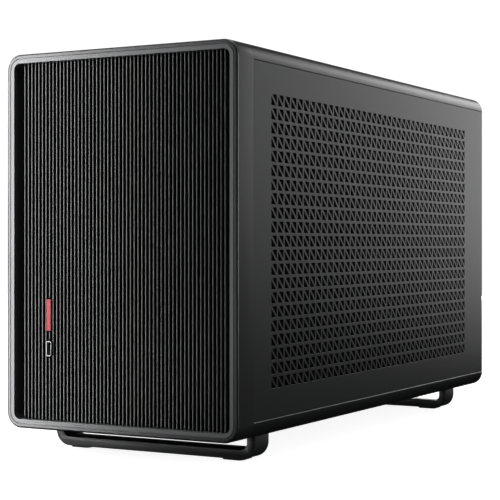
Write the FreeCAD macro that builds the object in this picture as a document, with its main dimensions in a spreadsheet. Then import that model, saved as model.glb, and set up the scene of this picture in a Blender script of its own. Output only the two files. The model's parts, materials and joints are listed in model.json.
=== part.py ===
"""A compact micro-ATX computer case with a finned front and triangular side vents.

Frame: X runs across the width, Y from the front (negative) to the rear, Z up from the floor.
"""
import FreeCAD, Part
import math
import os
from types import SimpleNamespace
import Sketcher

# Driving dimensions in millimetres. Counts are whole numbers.
SIZES = {
    # Body and sheet metal
    "case_width": 200.0,
    "case_height": 280.0,
    "case_depth": 488.0,
    "edge_radius": 12.0,
    "shell_sheet": 1.2,
    "panel_sheet": 1.0,
    "seam_gap": 0.5,
    "fit_gap": 0.3,
    "lip_rise": 0.6,
    "rail_height": 16.0,
    "pan_depth": 14.0,
    "pan_corner_relief": 1.0,
    "rear_recess": 11.8,
    # Side and other vents: square cells split into two triangles by a diagonal bar
    "vent_length": 393.0,
    "vent_height": 213.5,
    "vent_columns": 11,
    "vent_rows": 6,
    "vent_bar": 8.4,
    "vent_diagonal": 7.0,
    "net_margin": 2.0,
    # Snap studs of the pull-off panels
    "stud_radius": 2.0,
    "stud_length": 7.5,
    "stud_taper": 1.5,
    "stud_clearance": 0.3,
    "socket_radius": 4.2,
    "socket_rim_radius": 5.2,
    "socket_rim": 2.0,
    "socket_clearance": 0.15,
    "side_stud_spacing": 185.0,
    "front_stud_spacing": 100.0,
    "front_stud_inset": 10.0,
    # Front bezel and grille
    "bezel_depth": 22.0,
    "bezel_wall": 3.2,
    "bezel_round": 1.6,
    "groove": 0.6,
    "ring_width": 2.9,
    "opening_radius": 5.0,
    "grille_depth": 13.0,
    "ledge_width": 11.0,
    "ledge_thickness": 2.5,
    "fin_count": 54,
    "fin_pitch": 3.284,
    "fin_width": 1.3,
    "fin_recess": 5.0,
    "tie_height": 5.0,
    "tie_depth": 2.0,
    "tie_spacing": 70.0,
    "filter_lap": 1.4,
    "filter_sheet": 0.4,
    "filter_depth": 3.6,
    "filter_border": 5.0,
    # Front button and port
    "control_fin": 7,
    "control_gap": 1.2,
    "control_side_gap": 0.2,
    "button_height": 85.0,
    "button_width": 3.6,
    "button_length": 23.3,
    "button_proud": 1.2,
    "button_travel": 1.0,
    "button_rim": 1.4,
    "button_rim_depth": 1.2,
    "button_rest_gap": 0.1,
    "port_height": 60.0,
    "port_width": 4.8,
    "port_length": 11.5,
    "port_wall": 0.85,
    "port_radius": 1.3,
    "port_rim": 1.4,
    "port_rim_depth": 1.0,
    "port_depth": 15.0,
    "port_inlay_depth": 4.0,
    "port_tongue": 0.8,
    "port_tongue_length": 6.8,
    "port_tongue_reach": 8.0,
    "housing_half_width": 8.0,
    "housing_margin": 7.0,
    "housing_wall": 1.2,
    "board_thickness": 1.6,
    "board_clearance": 0.4,
    "switch_size": 6.0,
    "switch_height": 3.0,
    "switch_plunger": 1.6,
    # Fans
    "fan_bore": 57.0,
    "fan_screw_spacing": 105.0,
    "fan_screw_radius": 2.15,
    "front_fan_pitch": 122.0,
    "rear_fan_offset": 33.0,
    "rear_fan_drop": 78.0,
    "rear_grille_half": 60.5,
    "rear_grille_sheet": 1.0,
    "rear_grille_corner": 6.0,
    "rear_vent_half": 42.0,
    "rear_vent_count": 5,
    "rear_vent_bar": 4.5,
    "top_fan_pitch": 124.0,
    # Top vent panel and fan bracket
    "top_opening_width": 144.0,
    "top_opening_length": 396.0,
    "top_opening_corner": 6.0,
    "top_bracket_lap": 6.5,
    "top_vent_width": 90.0,
    "top_vent_length": 372.0,
    "top_vent_columns": 10,
    "top_vent_rows": 3,
    "screw_head_clearance": 3.4,
    # Motherboard tray, after the micro-ATX drawing
    "cable_space": 20.0,
    "tray_depth": 9.0,
    "tray_front": -64.0,
    "board_size": 243.84,
    "board_top_drop": 14.0,
    "board_rear_gap": 1.5,
    "standoff_height": 6.5,
    "standoff_radius": 3.2,
    "standoff_bore": 1.4,
    "row_rear": 10.16,
    "row_rear_offset": 33.02,
    "row_middle": 165.1,
    "row_front": 237.49,
    "column_low": 34.29,
    "column_middle": 80.01,
    "column_high": 237.49,
    "cable_slot_width": 16.0,
    "cable_slot_length": 60.0,
    "cable_slot_pitch": 82.0,
    "cable_slot_inset": 20.0,
    # Rear connector opening, slots and inlet
    "board_thickness_main": 1.6,
    "port_opening_below_board": 2.8,
    "port_opening_width": 44.45,
    "port_opening_length": 158.75,
    "port_opening_drop": 4.0,
    "slot_count": 4,
    "slot_pitch": 20.32,
    "slot_opening": 13.0,
    "slot_reach": 107.0,
    "cover_width": 18.42,
    "cover_sheet": 0.9,
    "cover_lap": 3.4,
    "cover_tab": 11.0,
    "cover_tab_width": 12.4,
    "cover_slit": 4.0,
    "cover_slit_length": 24.0,
    "cover_slit_count": 3,
    "cover_slit_pitch": 29.0,
    "ledge_base": 8.0,
    "thumbscrew_head_radius": 4.3,
    "thumbscrew_head": 6.0,
    "thumbscrew_radius": 1.6,
    "thumbscrew_length": 7.0,
    "thumbscrew_clearance": 0.2,
    "rear_slit_length": 40.0,
    "rear_slit_width": 4.0,
    "rear_slit_pitch": 10.0,
    "rear_slit_count": 7,
    "rear_slit_inset": 9.0,
    "rear_slit_height": 27.0,
    "inlet_offset": 62.0,
    "inlet_height": 121.0,
    "inlet_flange_length": 50.0,
    "inlet_flange_height": 24.0,
    "inlet_flange": 3.0,
    "inlet_flange_corner": 5.0,
    "inlet_body_length": 28.0,
    "inlet_body_height": 20.4,
    "inlet_body_depth": 20.0,
    "inlet_socket_length": 24.4,
    "inlet_socket_height": 16.8,
    "inlet_socket_depth": 17.0,
    "inlet_socket_chamfer": 5.0,
    "inlet_screw_spacing": 40.0,
    "inlet_pin_spacing": 7.0,
    "inlet_pin_width": 2.0,
    "inlet_pin_height": 4.0,
    "inlet_pin_length": 10.0,
    "inlet_pin_rise": 2.0,
    # Power supply bracket
    "supply_plate_height": 104.0,
    "supply_plate_left": 88.0,
    "supply_window_width": 126.0,
    "supply_window_height": 60.0,
    "supply_screws_across": 138.0,
    "supply_screws_up": 64.0,
    "supply_screw_radius": 2.0,
    "supply_center_left": 5.0,
    "supply_center_height": 48.0,
    "supply_flange": 16.0,
    "supply_flange_screws": 60.0,
    # Drive trays behind the motherboard tray
    "drive_sheet": 1.0,
    "drive_stand": 6.5,
    "drive_length": 104.0,
    "drive_width": 72.0,
    "drive_foot": 9.0,
    "drive_holes_long": 76.6,
    "drive_holes_wide": 61.72,
    "drive_hole_radius": 1.7,
    "drive_offset": 35.0,
    "drive_low": 26.0,
    "drive_pitch": 124.0,
    # Small screws
    "screw_head_radius": 2.8,
    "screw_head": 1.8,
    "screw_radius": 1.25,
    "screw_clearance": 0.3,
    "screw_reach": 5.0,
    # Feet
    "foot_height": 19.0,
    "foot_inset": 12.0,
    "foot_depth": 21.0,
    "foot_bar": 6.8,
    "foot_bend": 12.0,
    "foot_end_gap": 46.0,
    "foot_screw_pitch": 11.0,
    "foot_screw_depth": 9.0,
    "pad_height": 1.2,
    "pad_length": 17.0,
    "pad_side_gap": 1.5,
    "pad_corner": 3.0,
}

doc = FreeCAD.newDocument("micro_atx_case")
sheet = doc.addObject("Spreadsheet::Sheet", "dims")
for row, (alias, number) in enumerate(SIZES.items(), start=1):
    sheet.set(f"A{row}", str(number))
    sheet.setAlias(f"A{row}", alias)
doc.recompute()


class Formula:
    """Arithmetic on the sheet's cells, kept as the text of a live expression."""

    def __init__(self, text):
        self.text = text

    def __str__(self):
        return self.text

    def __float__(self):
        return float(sheet.evalExpression(self.text))

    def __add__(self, other):
        return Formula(f"({self} + {other})")

    def __radd__(self, other):
        return Formula(f"({other} + {self})")

    def __sub__(self, other):
        return Formula(f"({self} - {other})")

    def __rsub__(self, other):
        return Formula(f"({other} - {self})")

    def __mul__(self, other):
        return Formula(f"({self} * {other})")

    __rmul__ = __mul__

    def __truediv__(self, other):
        return Formula(f"({self} / {other})")

    def __neg__(self):
        return Formula(f"(-1 * {self})")


d = SimpleNamespace(**{alias: Formula(f"dims.{alias}") for alias in SIZES})
pieces = {}


def count(cell):
    """A count from the sheet as a whole number, for loops."""
    return round(float(cell))


def bind(thing, path, amount):
    thing.setExpression(path, str(amount))


# Sketch loops

def hold_point(drawing, geometry, end, x, y):
    """Hold a sketch point at a place given by two formulas."""
    for kind, axis, amount in (("DistanceX", -2, x), ("DistanceY", -1, y)):
        if isinstance(amount, int) and amount == 0:
            drawing.addConstraint(Sketcher.Constraint("PointOnObject", geometry, end, axis))
            continue
        number = float(amount)
        ends = (-1, 1, geometry, end) if number >= 0 else (geometry, end, -1, 1)
        index = drawing.addConstraint(Sketcher.Constraint(kind, *ends, abs(number)))
        bind(drawing, f"Constraints[{index}]", amount if number >= 0 else -1 * amount)


def set_radius(drawing, geometry, radius):
    index = drawing.addConstraint(Sketcher.Constraint("Radius", geometry, float(radius)))
    bind(drawing, f"Constraints[{index}]", radius)


def circle(x, y, radius):
    def draw(drawing):
        center = FreeCAD.Vector(float(x), float(y), 0)
        ring = drawing.addGeometry(Part.Circle(center, FreeCAD.Vector(0, 0, 1), float(radius)))
        hold_point(drawing, ring, 3, x, y)
        set_radius(drawing, ring, radius)
    return draw


def toward(corner, other, distance):
    """The point at a distance from a corner along the level or upright side to another corner."""
    x, y = corner[:2]
    step_x = float(other[0]) - float(x)
    step_y = float(other[1]) - float(y)
    if abs(step_x) > abs(step_y):
        return (x + math.copysign(1, step_x) * distance, y)
    return (x, y + math.copysign(1, step_y) * distance)


def outline(*corners):
    """A closed loop through corners (x, y), or (x, y, radius) at a rounded square corner."""
    def draw(drawing):
        total = len(corners)
        ends = []
        for place, corner in enumerate(corners):
            if len(corner) == 2:
                ends.append((corner, corner))
                continue
            before = toward(corner, corners[place - 1], corner[2])
            after = toward(corner, corners[(place + 1) % total], corner[2])
            ends.append((before, after))
        flat = [[FreeCAD.Vector(float(x), float(y), 0) for x, y in pair] for pair in ends]
        lines = []
        for place in range(total):
            side = Part.LineSegment(flat[place][1], flat[(place + 1) % total][0])
            lines.append(drawing.addGeometry(side))
        for place, corner in enumerate(corners):
            into, out = lines[place - 1], lines[place]
            hold_point(drawing, out, 1, *ends[place][1])
            if len(corner) == 2:
                drawing.addConstraint(Sketcher.Constraint("Coincident", into, 2, out, 1))
                continue
            hold_point(drawing, into, 2, *ends[place][0])
            before, after = flat[place]
            center = before + after - FreeCAD.Vector(float(corner[0]), float(corner[1]), 0)
            left_turn = (before - center).cross(after - center).z > 0
            first, last = (before, after) if left_turn else (after, before)
            angles = [math.atan2(p.y - center.y, p.x - center.x) for p in (first, last)]
            round_edge = Part.Circle(center, FreeCAD.Vector(0, 0, 1), float(corner[2]))
            arc = drawing.addGeometry(Part.ArcOfCircle(round_edge, *angles))
            arc_in, arc_out = (1, 2) if left_turn else (2, 1)
            drawing.addConstraint(Sketcher.Constraint("Coincident", into, 2, arc, arc_in))
            drawing.addConstraint(Sketcher.Constraint("Coincident", out, 1, arc, arc_out))
            set_radius(drawing, arc, corner[2])
    return draw


def rectangle(x0, y0, x1, y1, radius=None):
    corners = [(x0, y0), (x1, y0), (x1, y1), (x0, y1)]
    if radius is not None:
        corners = [(*corner, radius) for corner in corners]
    return outline(*corners)


def centered(x, y, width, height, radius=None):
    return rectangle(x - width / 2, y - height / 2, x + width / 2, y + height / 2, radius)


# Bodies and their features. A loop drawn for axis X is in (y, z), for Y in (x, z), for Z in (x, y).

PLANES = {"X": ("YZ_Plane", 1), "Y": ("XZ_Plane", -1), "Z": ("XY_Plane", 1)}


def new_body(name):
    body = doc.addObject("PartDesign::Body", name)
    body.Label = name
    pieces[name] = body
    return body


def origin_feature(body, role):
    return next(item for item in body.Origin.OriginFeatures if item.Role == role)


def sketch(body, axis, place, loops):
    plane, facing = PLANES[axis]
    drawing = body.newObject("Sketcher::SketchObject", f"{body.Name}_sketch")
    drawing.AttachmentSupport = [(origin_feature(body, plane), "")]
    drawing.MapMode = "FlatFace"
    bind(drawing, "AttachmentOffset.Base.z", facing * place)
    for loop in loops:
        loop(drawing)
    return drawing


def extrude(kind, body, axis, low, high, loops):
    drawing = sketch(body, axis, low, loops)
    feature = body.newObject(f"PartDesign::{kind}", f"{body.Name}_{kind.lower()}")
    feature.Profile = drawing
    feature.Reversed = (kind == "Pad") == (axis == "Y")
    bind(feature, "Length", high - low)
    body.Tip = feature
    return feature


def pad(body, axis, low, high, *loops):
    return extrude("Pad", body, axis, low, high, loops)


def pocket(body, axis, low, high, *loops):
    return extrude("Pocket", body, axis, low, high, loops)


def repeat(body, feature, *runs):
    """Repeat a feature along one or more runs of (axis, step, count)."""
    field = body.newObject("PartDesign::MultiTransform", f"{body.Name}_field")
    field.Originals = [feature]
    patterns = []
    for axis, step, number in runs:
        pattern = body.newObject("PartDesign::LinearPattern", f"{body.Name}_run")
        pattern.Direction = (origin_feature(body, f"{axis}_Axis"), [""])
        pattern.Mode = "Spacing"
        bind(pattern, "Offset", step)
        bind(pattern, "Occurrences", number)
        patterns.append(pattern)
    field.Transformations = patterns
    body.Tip = field


# Primitives and booleans

TURNS = {
    "X": FreeCAD.Rotation(FreeCAD.Vector(0, 1, 0), 90),
    "-X": FreeCAD.Rotation(FreeCAD.Vector(0, 1, 0), -90),
    "Y": FreeCAD.Rotation(FreeCAD.Vector(1, 0, 0), -90),
    "Z": FreeCAD.Rotation(),
}


def put(solid, place, axis="Z"):
    solid.Placement = FreeCAD.Placement(FreeCAD.Vector(), TURNS[axis])
    for letter, amount in zip("xyz", place):
        bind(solid, f"Placement.Base.{letter}", amount)
    return solid


def box(name, low, high):
    solid = doc.addObject("Part::Box", name)
    for side, start, end in zip(("Length", "Width", "Height"), low, high):
        bind(solid, side, end - start)
    return put(solid, low)


def rod(name, place, axis, radius, length):
    solid = doc.addObject("Part::Cylinder", name)
    bind(solid, "Radius", radius)
    bind(solid, "Height", length)
    return put(solid, place, axis)


def fuse(name, *shapes):
    solid = doc.addObject("Part::MultiFuse", name)
    solid.Shapes = list(shapes)
    solid.Refine = True
    return solid


def cut(name, base, *tools):
    solid = doc.addObject("Part::Cut", name)
    solid.Base = base
    solid.Tool = tools[0] if len(tools) == 1 else fuse(f"{name}_tools", *tools)
    solid.Refine = True
    return solid


def keep(name, solid):
    solid.Label = name
    pieces[name] = solid
    return solid


def group(name, solids):
    """Identical loose pieces that share one node."""
    bundle = doc.addObject("Part::Compound", name)
    bundle.Links = solids
    return keep(name, bundle)


# Shared levels and faces

half_width = d.case_width / 2
front = -d.case_depth / 2
rear = d.case_depth / 2
base = d.foot_height
top = base + d.case_height
middle = base + d.case_height / 2
floor = base + d.shell_sheet
ceiling = top - d.shell_sheet
seam = d.edge_radius + d.lip_rise
rail_top = seam + d.rail_height
rail_face = half_width - d.panel_sheet - d.fit_gap
rail_inner = rail_face - d.shell_sheet
inner_radius = d.edge_radius - (half_width - rail_inner)
shell_front = front + d.bezel_depth + d.seam_gap
panel_inner = half_width - d.panel_sheet
pan_corner = inner_radius + d.pan_corner_relief
rear_outer = rear - d.rear_recess
rear_inner = rear_outer - d.shell_sheet
rear_pan_front = rear_outer - d.pan_depth
socket_hole = d.socket_radius + d.socket_clearance
screw_hole = d.screw_radius + d.screw_clearance
tray_outer = half_width - d.cable_space
tray_inner = tray_outer - d.shell_sheet
tray_rear = rear_pan_front - d.fit_gap
board_top = top - d.board_top_drop
board_bottom = board_top - d.board_size
board_rear = rear_inner - d.board_rear_gap
board_face = tray_inner - d.standoff_height - d.board_thickness_main
port_side = board_face + d.port_opening_below_board
slot_end = port_side - d.slot_reach
foot_half = half_width - d.foot_inset
foot_screw_x = foot_half - d.foot_bar / 2
foot_starts = (front + d.foot_end_gap, rear - d.foot_end_gap - d.foot_depth)
side_stud_places = [
    (step * d.side_stud_spacing, level)
    for step in (-1, 0, 1)
    for level in (base + seam + d.rail_height / 2, top - seam - d.rail_height / 2)
]
front_stud_places = [
    (side * (half_width - d.front_stud_inset), middle + step * d.front_stud_spacing)
    for side in (-1, 1)
    for step in (-1, 0, 1)
]


def fan_holes(x, y, radius):
    """The four screw holes of a fan around its centre."""
    half = d.fan_screw_spacing / 2
    return [circle(x + i * half, y + j * half, radius) for i in (-1, 1) for j in (-1, 1)]


def vent_cell(x, y, width, height, diagonal):
    """Two right triangles that split a cell, which starts at (x, y), along its falling diagonal."""
    trim = diagonal / math.sqrt(2)
    low = outline((x, y), (x + width - trim, y), (x, y + height - trim))
    far_x, far_y = x + width, y + height
    high = outline((far_x, far_y), (far_x - width + trim, far_y), (far_x, far_y - height + trim))
    return low, high


def vents(body, axis, low, high, corner, size, numbers, bar, diagonal):
    """Punch a field of vent cells; corner, size and numbers are pairs along the sheet."""
    pitch_u, pitch_v = size[0] / numbers[0], size[1] / numbers[1]
    start_u, start_v = corner[0] + bar / 2, corner[1] + bar / 2
    cell = vent_cell(start_u, start_v, pitch_u - bar, pitch_v - bar, diagonal)
    punched = pocket(body, axis, low, high, *cell)
    along = {"X": "YZ", "Y": "XZ", "Z": "XY"}[axis]
    repeat(body, punched, (along[0], pitch_u, numbers[0]), (along[1], pitch_v, numbers[1]))


# Top and base shells: bent sheet with round edges and stepped rails behind the side panels

def shell(name, edge, inward):
    body = new_body(name)

    def level(height):
        return edge + inward * height

    right = [
        (half_width, level(seam)),
        (rail_face, level(seam)),
        (rail_face, level(rail_top)),
        (rail_inner, level(rail_top)),
        (rail_inner, level(d.shell_sheet), inner_radius),
    ]
    left = [(-corner[0], *corner[1:]) for corner in reversed(right)]
    edges = [(-half_width, edge, d.edge_radius), (half_width, edge, d.edge_radius)]
    pad(body, "Y", shell_front, rear, outline(*right, *left, *edges))
    height = level(seam + d.rail_height / 2)
    sockets = [circle(step * d.side_stud_spacing if step else 0, height, socket_hole) for step in (-1, 0, 1)]
    pocket(body, "X", -half_width, half_width, *sockets)
    return body


def foot_screw_places(start):
    center = start + d.foot_depth / 2
    return [
        (side * foot_screw_x, center + step * d.foot_screw_pitch / 2)
        for side in (-1, 1)
        for step in (-1, 1)
    ]


supply_flange_y = d.tray_front - d.shell_sheet - d.supply_flange / 2
supply_x = -d.supply_center_left
supply_screw_places = [(supply_x + step * d.supply_flange_screws, supply_flange_y) for step in (-1, 0, 1)]

base_shell = shell("base_shell", base, 1)
base_holes = [place for start in foot_starts for place in foot_screw_places(start)] + supply_screw_places
pocket(base_shell, "Z", base, floor, *[circle(x, y, screw_hole) for x, y in base_holes])

top_shell = shell("top_shell", top, -1)
top_center = (shell_front + rear) / 2
top_hole = centered(Formula("0"), top_center, d.top_opening_width, d.top_opening_length, d.top_opening_corner)
pocket(top_shell, "Z", ceiling, top, top_hole)

# Top vent panel, flush in the top shell, and the fan bracket that carries it

top_fans = [(Formula("0"), top_center + step * d.top_fan_pitch) for step in (-1, 0, 1)]

top_vent_panel = new_body("top_vent_panel")
top_width = d.top_opening_width - 2 * d.seam_gap
top_length = d.top_opening_length - 2 * d.seam_gap
pad(top_vent_panel, "Z", ceiling, top, centered(
    Formula("0"), top_center, top_width, top_length, d.top_opening_corner - d.seam_gap))
heads = [hole for x, y in top_fans for hole in fan_holes(x, y, d.screw_head_clearance)]
pocket(top_vent_panel, "Z", ceiling, top, *heads)
vents(
    top_vent_panel, "Z", ceiling, top,
    (-d.top_vent_width / 2, top_center - d.top_vent_length / 2), (d.top_vent_width, d.top_vent_length),
    (d.top_vent_rows, d.top_vent_columns), d.vent_bar, d.vent_diagonal)

top_fan_bracket = new_body("top_fan_bracket")
pad(top_fan_bracket, "Z", ceiling - d.shell_sheet, ceiling, centered(
    Formula("0"), top_center, d.top_opening_width + 2 * d.top_bracket_lap,
    d.top_opening_length + 2 * d.top_bracket_lap, d.top_opening_corner + d.top_bracket_lap))
pocket(top_fan_bracket, "Z", ceiling - d.shell_sheet, ceiling, *[circle(x, y, d.fan_bore) for x, y in top_fans])
fan_marks = [hole for x, y in top_fans for hole in fan_holes(x, y, d.fan_screw_radius)]
pocket(top_fan_bracket, "Z", ceiling - d.shell_sheet, ceiling, *fan_marks)

# Front plate: a pan behind the bezel with two fan openings

front_fans = [(Formula("0"), middle + step * d.front_fan_pitch / 2) for step in (-1, 1)]

front_plate = new_body("front_plate")
pad(front_plate, "Y", shell_front, shell_front + d.pan_depth, rectangle(
    -rail_inner, floor, rail_inner, ceiling, pan_corner))
pocket(front_plate, "Y", shell_front + d.shell_sheet, shell_front + d.pan_depth, rectangle(
    -rail_inner + d.shell_sheet, floor + d.shell_sheet, rail_inner - d.shell_sheet, ceiling - d.shell_sheet,
    pan_corner - d.shell_sheet))
front_holes = [circle(x, z, d.fan_bore) for x, z in front_fans]
front_holes += [hole for x, z in front_fans for hole in fan_holes(x, z, d.fan_screw_radius)]
front_holes += [circle(x, z, socket_hole) for x, z in front_stud_places]
pocket(front_plate, "Y", shell_front, shell_front + d.shell_sheet, *front_holes)

# Rear plate: a pan set in from the rear edges of the shells

fan_x = -d.rear_fan_offset
fan_z = top - d.rear_fan_drop
slot_levels = [board_bottom + (place + 0.5) * d.slot_pitch for place in range(count(d.slot_count))]
inlet_x = -d.inlet_offset
inlet_z = base + d.inlet_height
inlet_screw_places = [(inlet_x + side * d.inlet_screw_spacing / 2, inlet_z) for side in (-1, 1)]

rear_plate = new_body("rear_plate")
pad(rear_plate, "Y", rear_pan_front, rear_outer, rectangle(
    -rail_inner, floor, rail_inner, ceiling, pan_corner))
pocket(rear_plate, "Y", rear_pan_front, rear_inner, rectangle(
    -rail_inner + d.shell_sheet, floor + d.shell_sheet, rail_inner - d.shell_sheet, ceiling - d.shell_sheet,
    pan_corner - d.shell_sheet))
port_top = board_top - d.port_opening_drop
rear_holes = [
    circle(fan_x, fan_z, d.fan_bore),
    *fan_holes(fan_x, fan_z, d.fan_screw_radius),
    rectangle(port_side - d.port_opening_width, port_top - d.port_opening_length, port_side, port_top),
    centered(inlet_x, inlet_z, d.inlet_body_length + 2 * d.fit_gap, d.inlet_body_height + 2 * d.fit_gap),
    *[circle(x, z, screw_hole) for x, z in inlet_screw_places],
]
rear_holes += [
    rectangle(slot_end, level - d.slot_opening / 2, port_side, level + d.slot_opening / 2)
    for level in slot_levels
]
pocket(rear_plate, "Y", rear_inner, rear_outer, *rear_holes)
slit_left = -rail_inner + d.rear_slit_inset
slit_low = base + d.rear_slit_height
slit = rectangle(
    slit_left, slit_low, slit_left + d.rear_slit_length, slit_low + d.rear_slit_width, d.rear_slit_width / 2.5)
slit_cut = pocket(rear_plate, "Y", rear_inner, rear_outer, slit)
repeat(rear_plate, slit_cut, ("Z", d.rear_slit_pitch, d.rear_slit_count))

rear_fan_grille = new_body("rear_fan_grille")
pad(rear_fan_grille, "Y", rear_inner - d.rear_grille_sheet, rear_inner, centered(
    fan_x, fan_z, 2 * d.rear_grille_half, 2 * d.rear_grille_half, d.rear_grille_corner))
pocket(rear_fan_grille, "Y", rear_inner - d.rear_grille_sheet, rear_inner, *fan_holes(
    fan_x, fan_z, d.fan_screw_radius))
vents(
    rear_fan_grille, "Y", rear_inner - d.rear_grille_sheet, rear_inner,
    (fan_x - d.rear_vent_half, fan_z - d.rear_vent_half), (2 * d.rear_vent_half, 2 * d.rear_vent_half),
    (d.rear_vent_count, d.rear_vent_count), d.rear_vent_bar, d.rear_vent_bar)

# Expansion slot covers, the ledge that their tabs rest on, and the thumbscrews

ledge_side = slot_end + d.cover_sheet + d.fit_gap
thumb_y = rear_outer + d.thumbscrew_head_radius + d.fit_gap
thumb_hole = d.thumbscrew_radius + d.thumbscrew_clearance


def slot_cover(place, level):
    name = f"slot_cover_{place + 1}"
    half = d.cover_width / 2
    blade = box(
        f"{name}_blade",
        (ledge_side - d.cover_sheet, rear_inner - d.cover_sheet, level - half),
        (port_side + d.cover_lap, rear_inner, level + half))
    tab = box(
        f"{name}_tab",
        (ledge_side - d.cover_sheet, rear_inner - d.cover_sheet, level - d.cover_tab_width / 2),
        (ledge_side, rear_outer + d.cover_tab, level + d.cover_tab_width / 2))
    hole = rod(
        f"{name}_hole", (ledge_side - 2 * d.cover_sheet, thumb_y, level), "X", thumb_hole, 3 * d.cover_sheet)
    blade_center = (ledge_side + port_side) / 2
    slits = []
    for step in range(count(d.cover_slit_count)):
        shift = (step - (d.cover_slit_count - 1) / 2) * d.cover_slit_pitch
        start = blade_center + shift - d.cover_slit_length / 2
        slits.append(box(
            f"{name}_slit",
            (start, rear_inner - 2 * d.cover_sheet, level - d.cover_slit / 2),
            (start + d.cover_slit_length, rear_inner + d.cover_sheet, level + d.cover_slit / 2)))
    keep(name, cut(name, fuse(f"{name}_sheet", blade, tab), hole, *slits))


for place, level in enumerate(slot_levels):
    slot_cover(place, level)

ledge_low = board_bottom
ledge_high = board_bottom + d.slot_count * d.slot_pitch
ledge_blank = fuse(
    "slot_ledge_blank",
    box(
        "slot_ledge_wall", (ledge_side, rear_outer, ledge_low),
        (ledge_side + d.shell_sheet, rear_outer + d.cover_tab, ledge_high)),
    box(
        "slot_ledge_base", (ledge_side, rear_outer, ledge_low),
        (ledge_side + d.ledge_base, rear_outer + d.shell_sheet, ledge_high)))
ledge_drills = [
    rod("slot_ledge_hole", (ledge_side - d.shell_sheet, thumb_y, level), "X", thumb_hole, 3 * d.shell_sheet)
    for level in slot_levels
]
keep("slot_ledge", cut("slot_ledge", ledge_blank, *ledge_drills))


def thumbscrew(level):
    seat = ledge_side - d.cover_sheet
    head = rod(
        "thumbscrew_head", (seat - d.thumbscrew_head, thumb_y, level), "X",
        d.thumbscrew_head_radius, d.thumbscrew_head)
    shank = rod(
        "thumbscrew_shank", (seat, thumb_y, level), "X", d.thumbscrew_radius, d.thumbscrew_length)
    return fuse("thumbscrew", head, shank)


group("slot_thumbscrews", [thumbscrew(level) for level in slot_levels])

# Mains inlet with its pins and screws

inlet_face = rear_outer + d.inlet_flange
socket_floor = inlet_face - d.inlet_socket_depth
power_inlet = new_body("power_inlet")
pad(power_inlet, "Y", rear_outer, inlet_face, centered(
    inlet_x, inlet_z, d.inlet_flange_length, d.inlet_flange_height, d.inlet_flange_corner))
pad(power_inlet, "Y", rear_outer - d.inlet_body_depth, rear_outer, centered(
    inlet_x, inlet_z, d.inlet_body_length, d.inlet_body_height))
socket_left = inlet_x - d.inlet_socket_length / 2
socket_right = inlet_x + d.inlet_socket_length / 2
socket_low = inlet_z - d.inlet_socket_height / 2
socket_high = inlet_z + d.inlet_socket_height / 2
pocket(power_inlet, "Y", socket_floor, inlet_face, outline(
    (socket_left, socket_low), (socket_right, socket_low),
    (socket_right, socket_high - d.inlet_socket_chamfer), (socket_right - d.inlet_socket_chamfer, socket_high),
    (socket_left + d.inlet_socket_chamfer, socket_high), (socket_left, socket_high - d.inlet_socket_chamfer)))
pocket(power_inlet, "Y", rear_outer, inlet_face, *[circle(x, z, screw_hole) for x, z in inlet_screw_places])


def inlet_pin(step):
    x = inlet_x + step * d.inlet_pin_spacing
    z = inlet_z + (d.inlet_pin_rise if step == 0 else -1 * d.inlet_pin_rise)
    return box(
        "inlet_pin", (x - d.inlet_pin_width / 2, socket_floor, z - d.inlet_pin_height / 2),
        (x + d.inlet_pin_width / 2, socket_floor + d.inlet_pin_length, z + d.inlet_pin_height / 2))


group("inlet_pins", [inlet_pin(step) for step in (-1, 0, 1)])


def screw(place, axis, grip):
    """A pan-head screw seated at a place, with its head along the axis and its shank against it."""
    x, y, z = place
    depth = grip + d.screw_reach
    head = rod("screw_head", place, axis, d.screw_head_radius, d.screw_head)
    tail = {"X": (x - depth, y, z), "Y": (x, y - depth, z), "Z": (x, y, z - depth)}[axis]
    return fuse("screw", head, rod("screw_shank", tail, axis, d.screw_radius, depth))


inlet_grip = d.inlet_flange + d.shell_sheet
group("inlet_screws", [screw((x, inlet_face, z), "Y", inlet_grip) for x, z in inlet_screw_places])

# Motherboard tray with its standoffs

motherboard_tray = new_body("motherboard_tray")
tray_edge = tray_inner + d.tray_depth
pad(motherboard_tray, "X", tray_inner, tray_edge, rectangle(d.tray_front, floor, tray_rear, ceiling))
pocket(motherboard_tray, "X", tray_outer, tray_edge, rectangle(
    d.tray_front + d.shell_sheet, floor + d.shell_sheet, tray_rear - d.shell_sheet, ceiling - d.shell_sheet))
tongue_low = floor + d.shell_sheet + d.fit_gap
tongue_high = ceiling - d.shell_sheet - d.fit_gap
pad(motherboard_tray, "X", tray_inner, tray_outer, rectangle(
    tray_rear - d.shell_sheet, tongue_low, rear_inner, tongue_high))
cable_front = d.tray_front + d.cable_slot_inset
tray_holes = [
    rectangle(
        cable_front, level - d.cable_slot_length / 2, cable_front + d.cable_slot_width,
        level + d.cable_slot_length / 2, d.opening_radius)
    for level in [middle + step * d.cable_slot_pitch for step in (-1, 0, 1)]
]
drive_levels = [base + d.drive_low + place * d.drive_pitch for place in (0, 1)]
drive_reach = d.drive_length / 2 + d.drive_foot / 2
drive_screw_places = [
    (d.drive_offset + side * drive_reach, level + d.drive_width / 2)
    for level in drive_levels
    for side in (-1, 1)
]
tray_holes += [circle(y, z, screw_hole) for y, z in drive_screw_places]
pocket(motherboard_tray, "X", tray_inner, tray_outer, *tray_holes)
head_room = d.screw_head_radius + d.fit_gap
notch_center = foot_starts[1] + d.foot_depth / 2
pocket(motherboard_tray, "Z", floor, floor + d.shell_sheet, rectangle(
    foot_screw_x - head_room, notch_center - d.foot_screw_pitch / 2 - head_room,
    tray_edge, notch_center + d.foot_screw_pitch / 2 + head_room))

standoff_places = [
    (d.row_rear_offset, d.column_high),
    (d.row_rear, d.column_middle),
    (d.row_rear, d.column_low),
    *[(row, column) for row in (d.row_middle, d.row_front)
      for column in (d.column_low, d.column_middle, d.column_high)],
]


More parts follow.
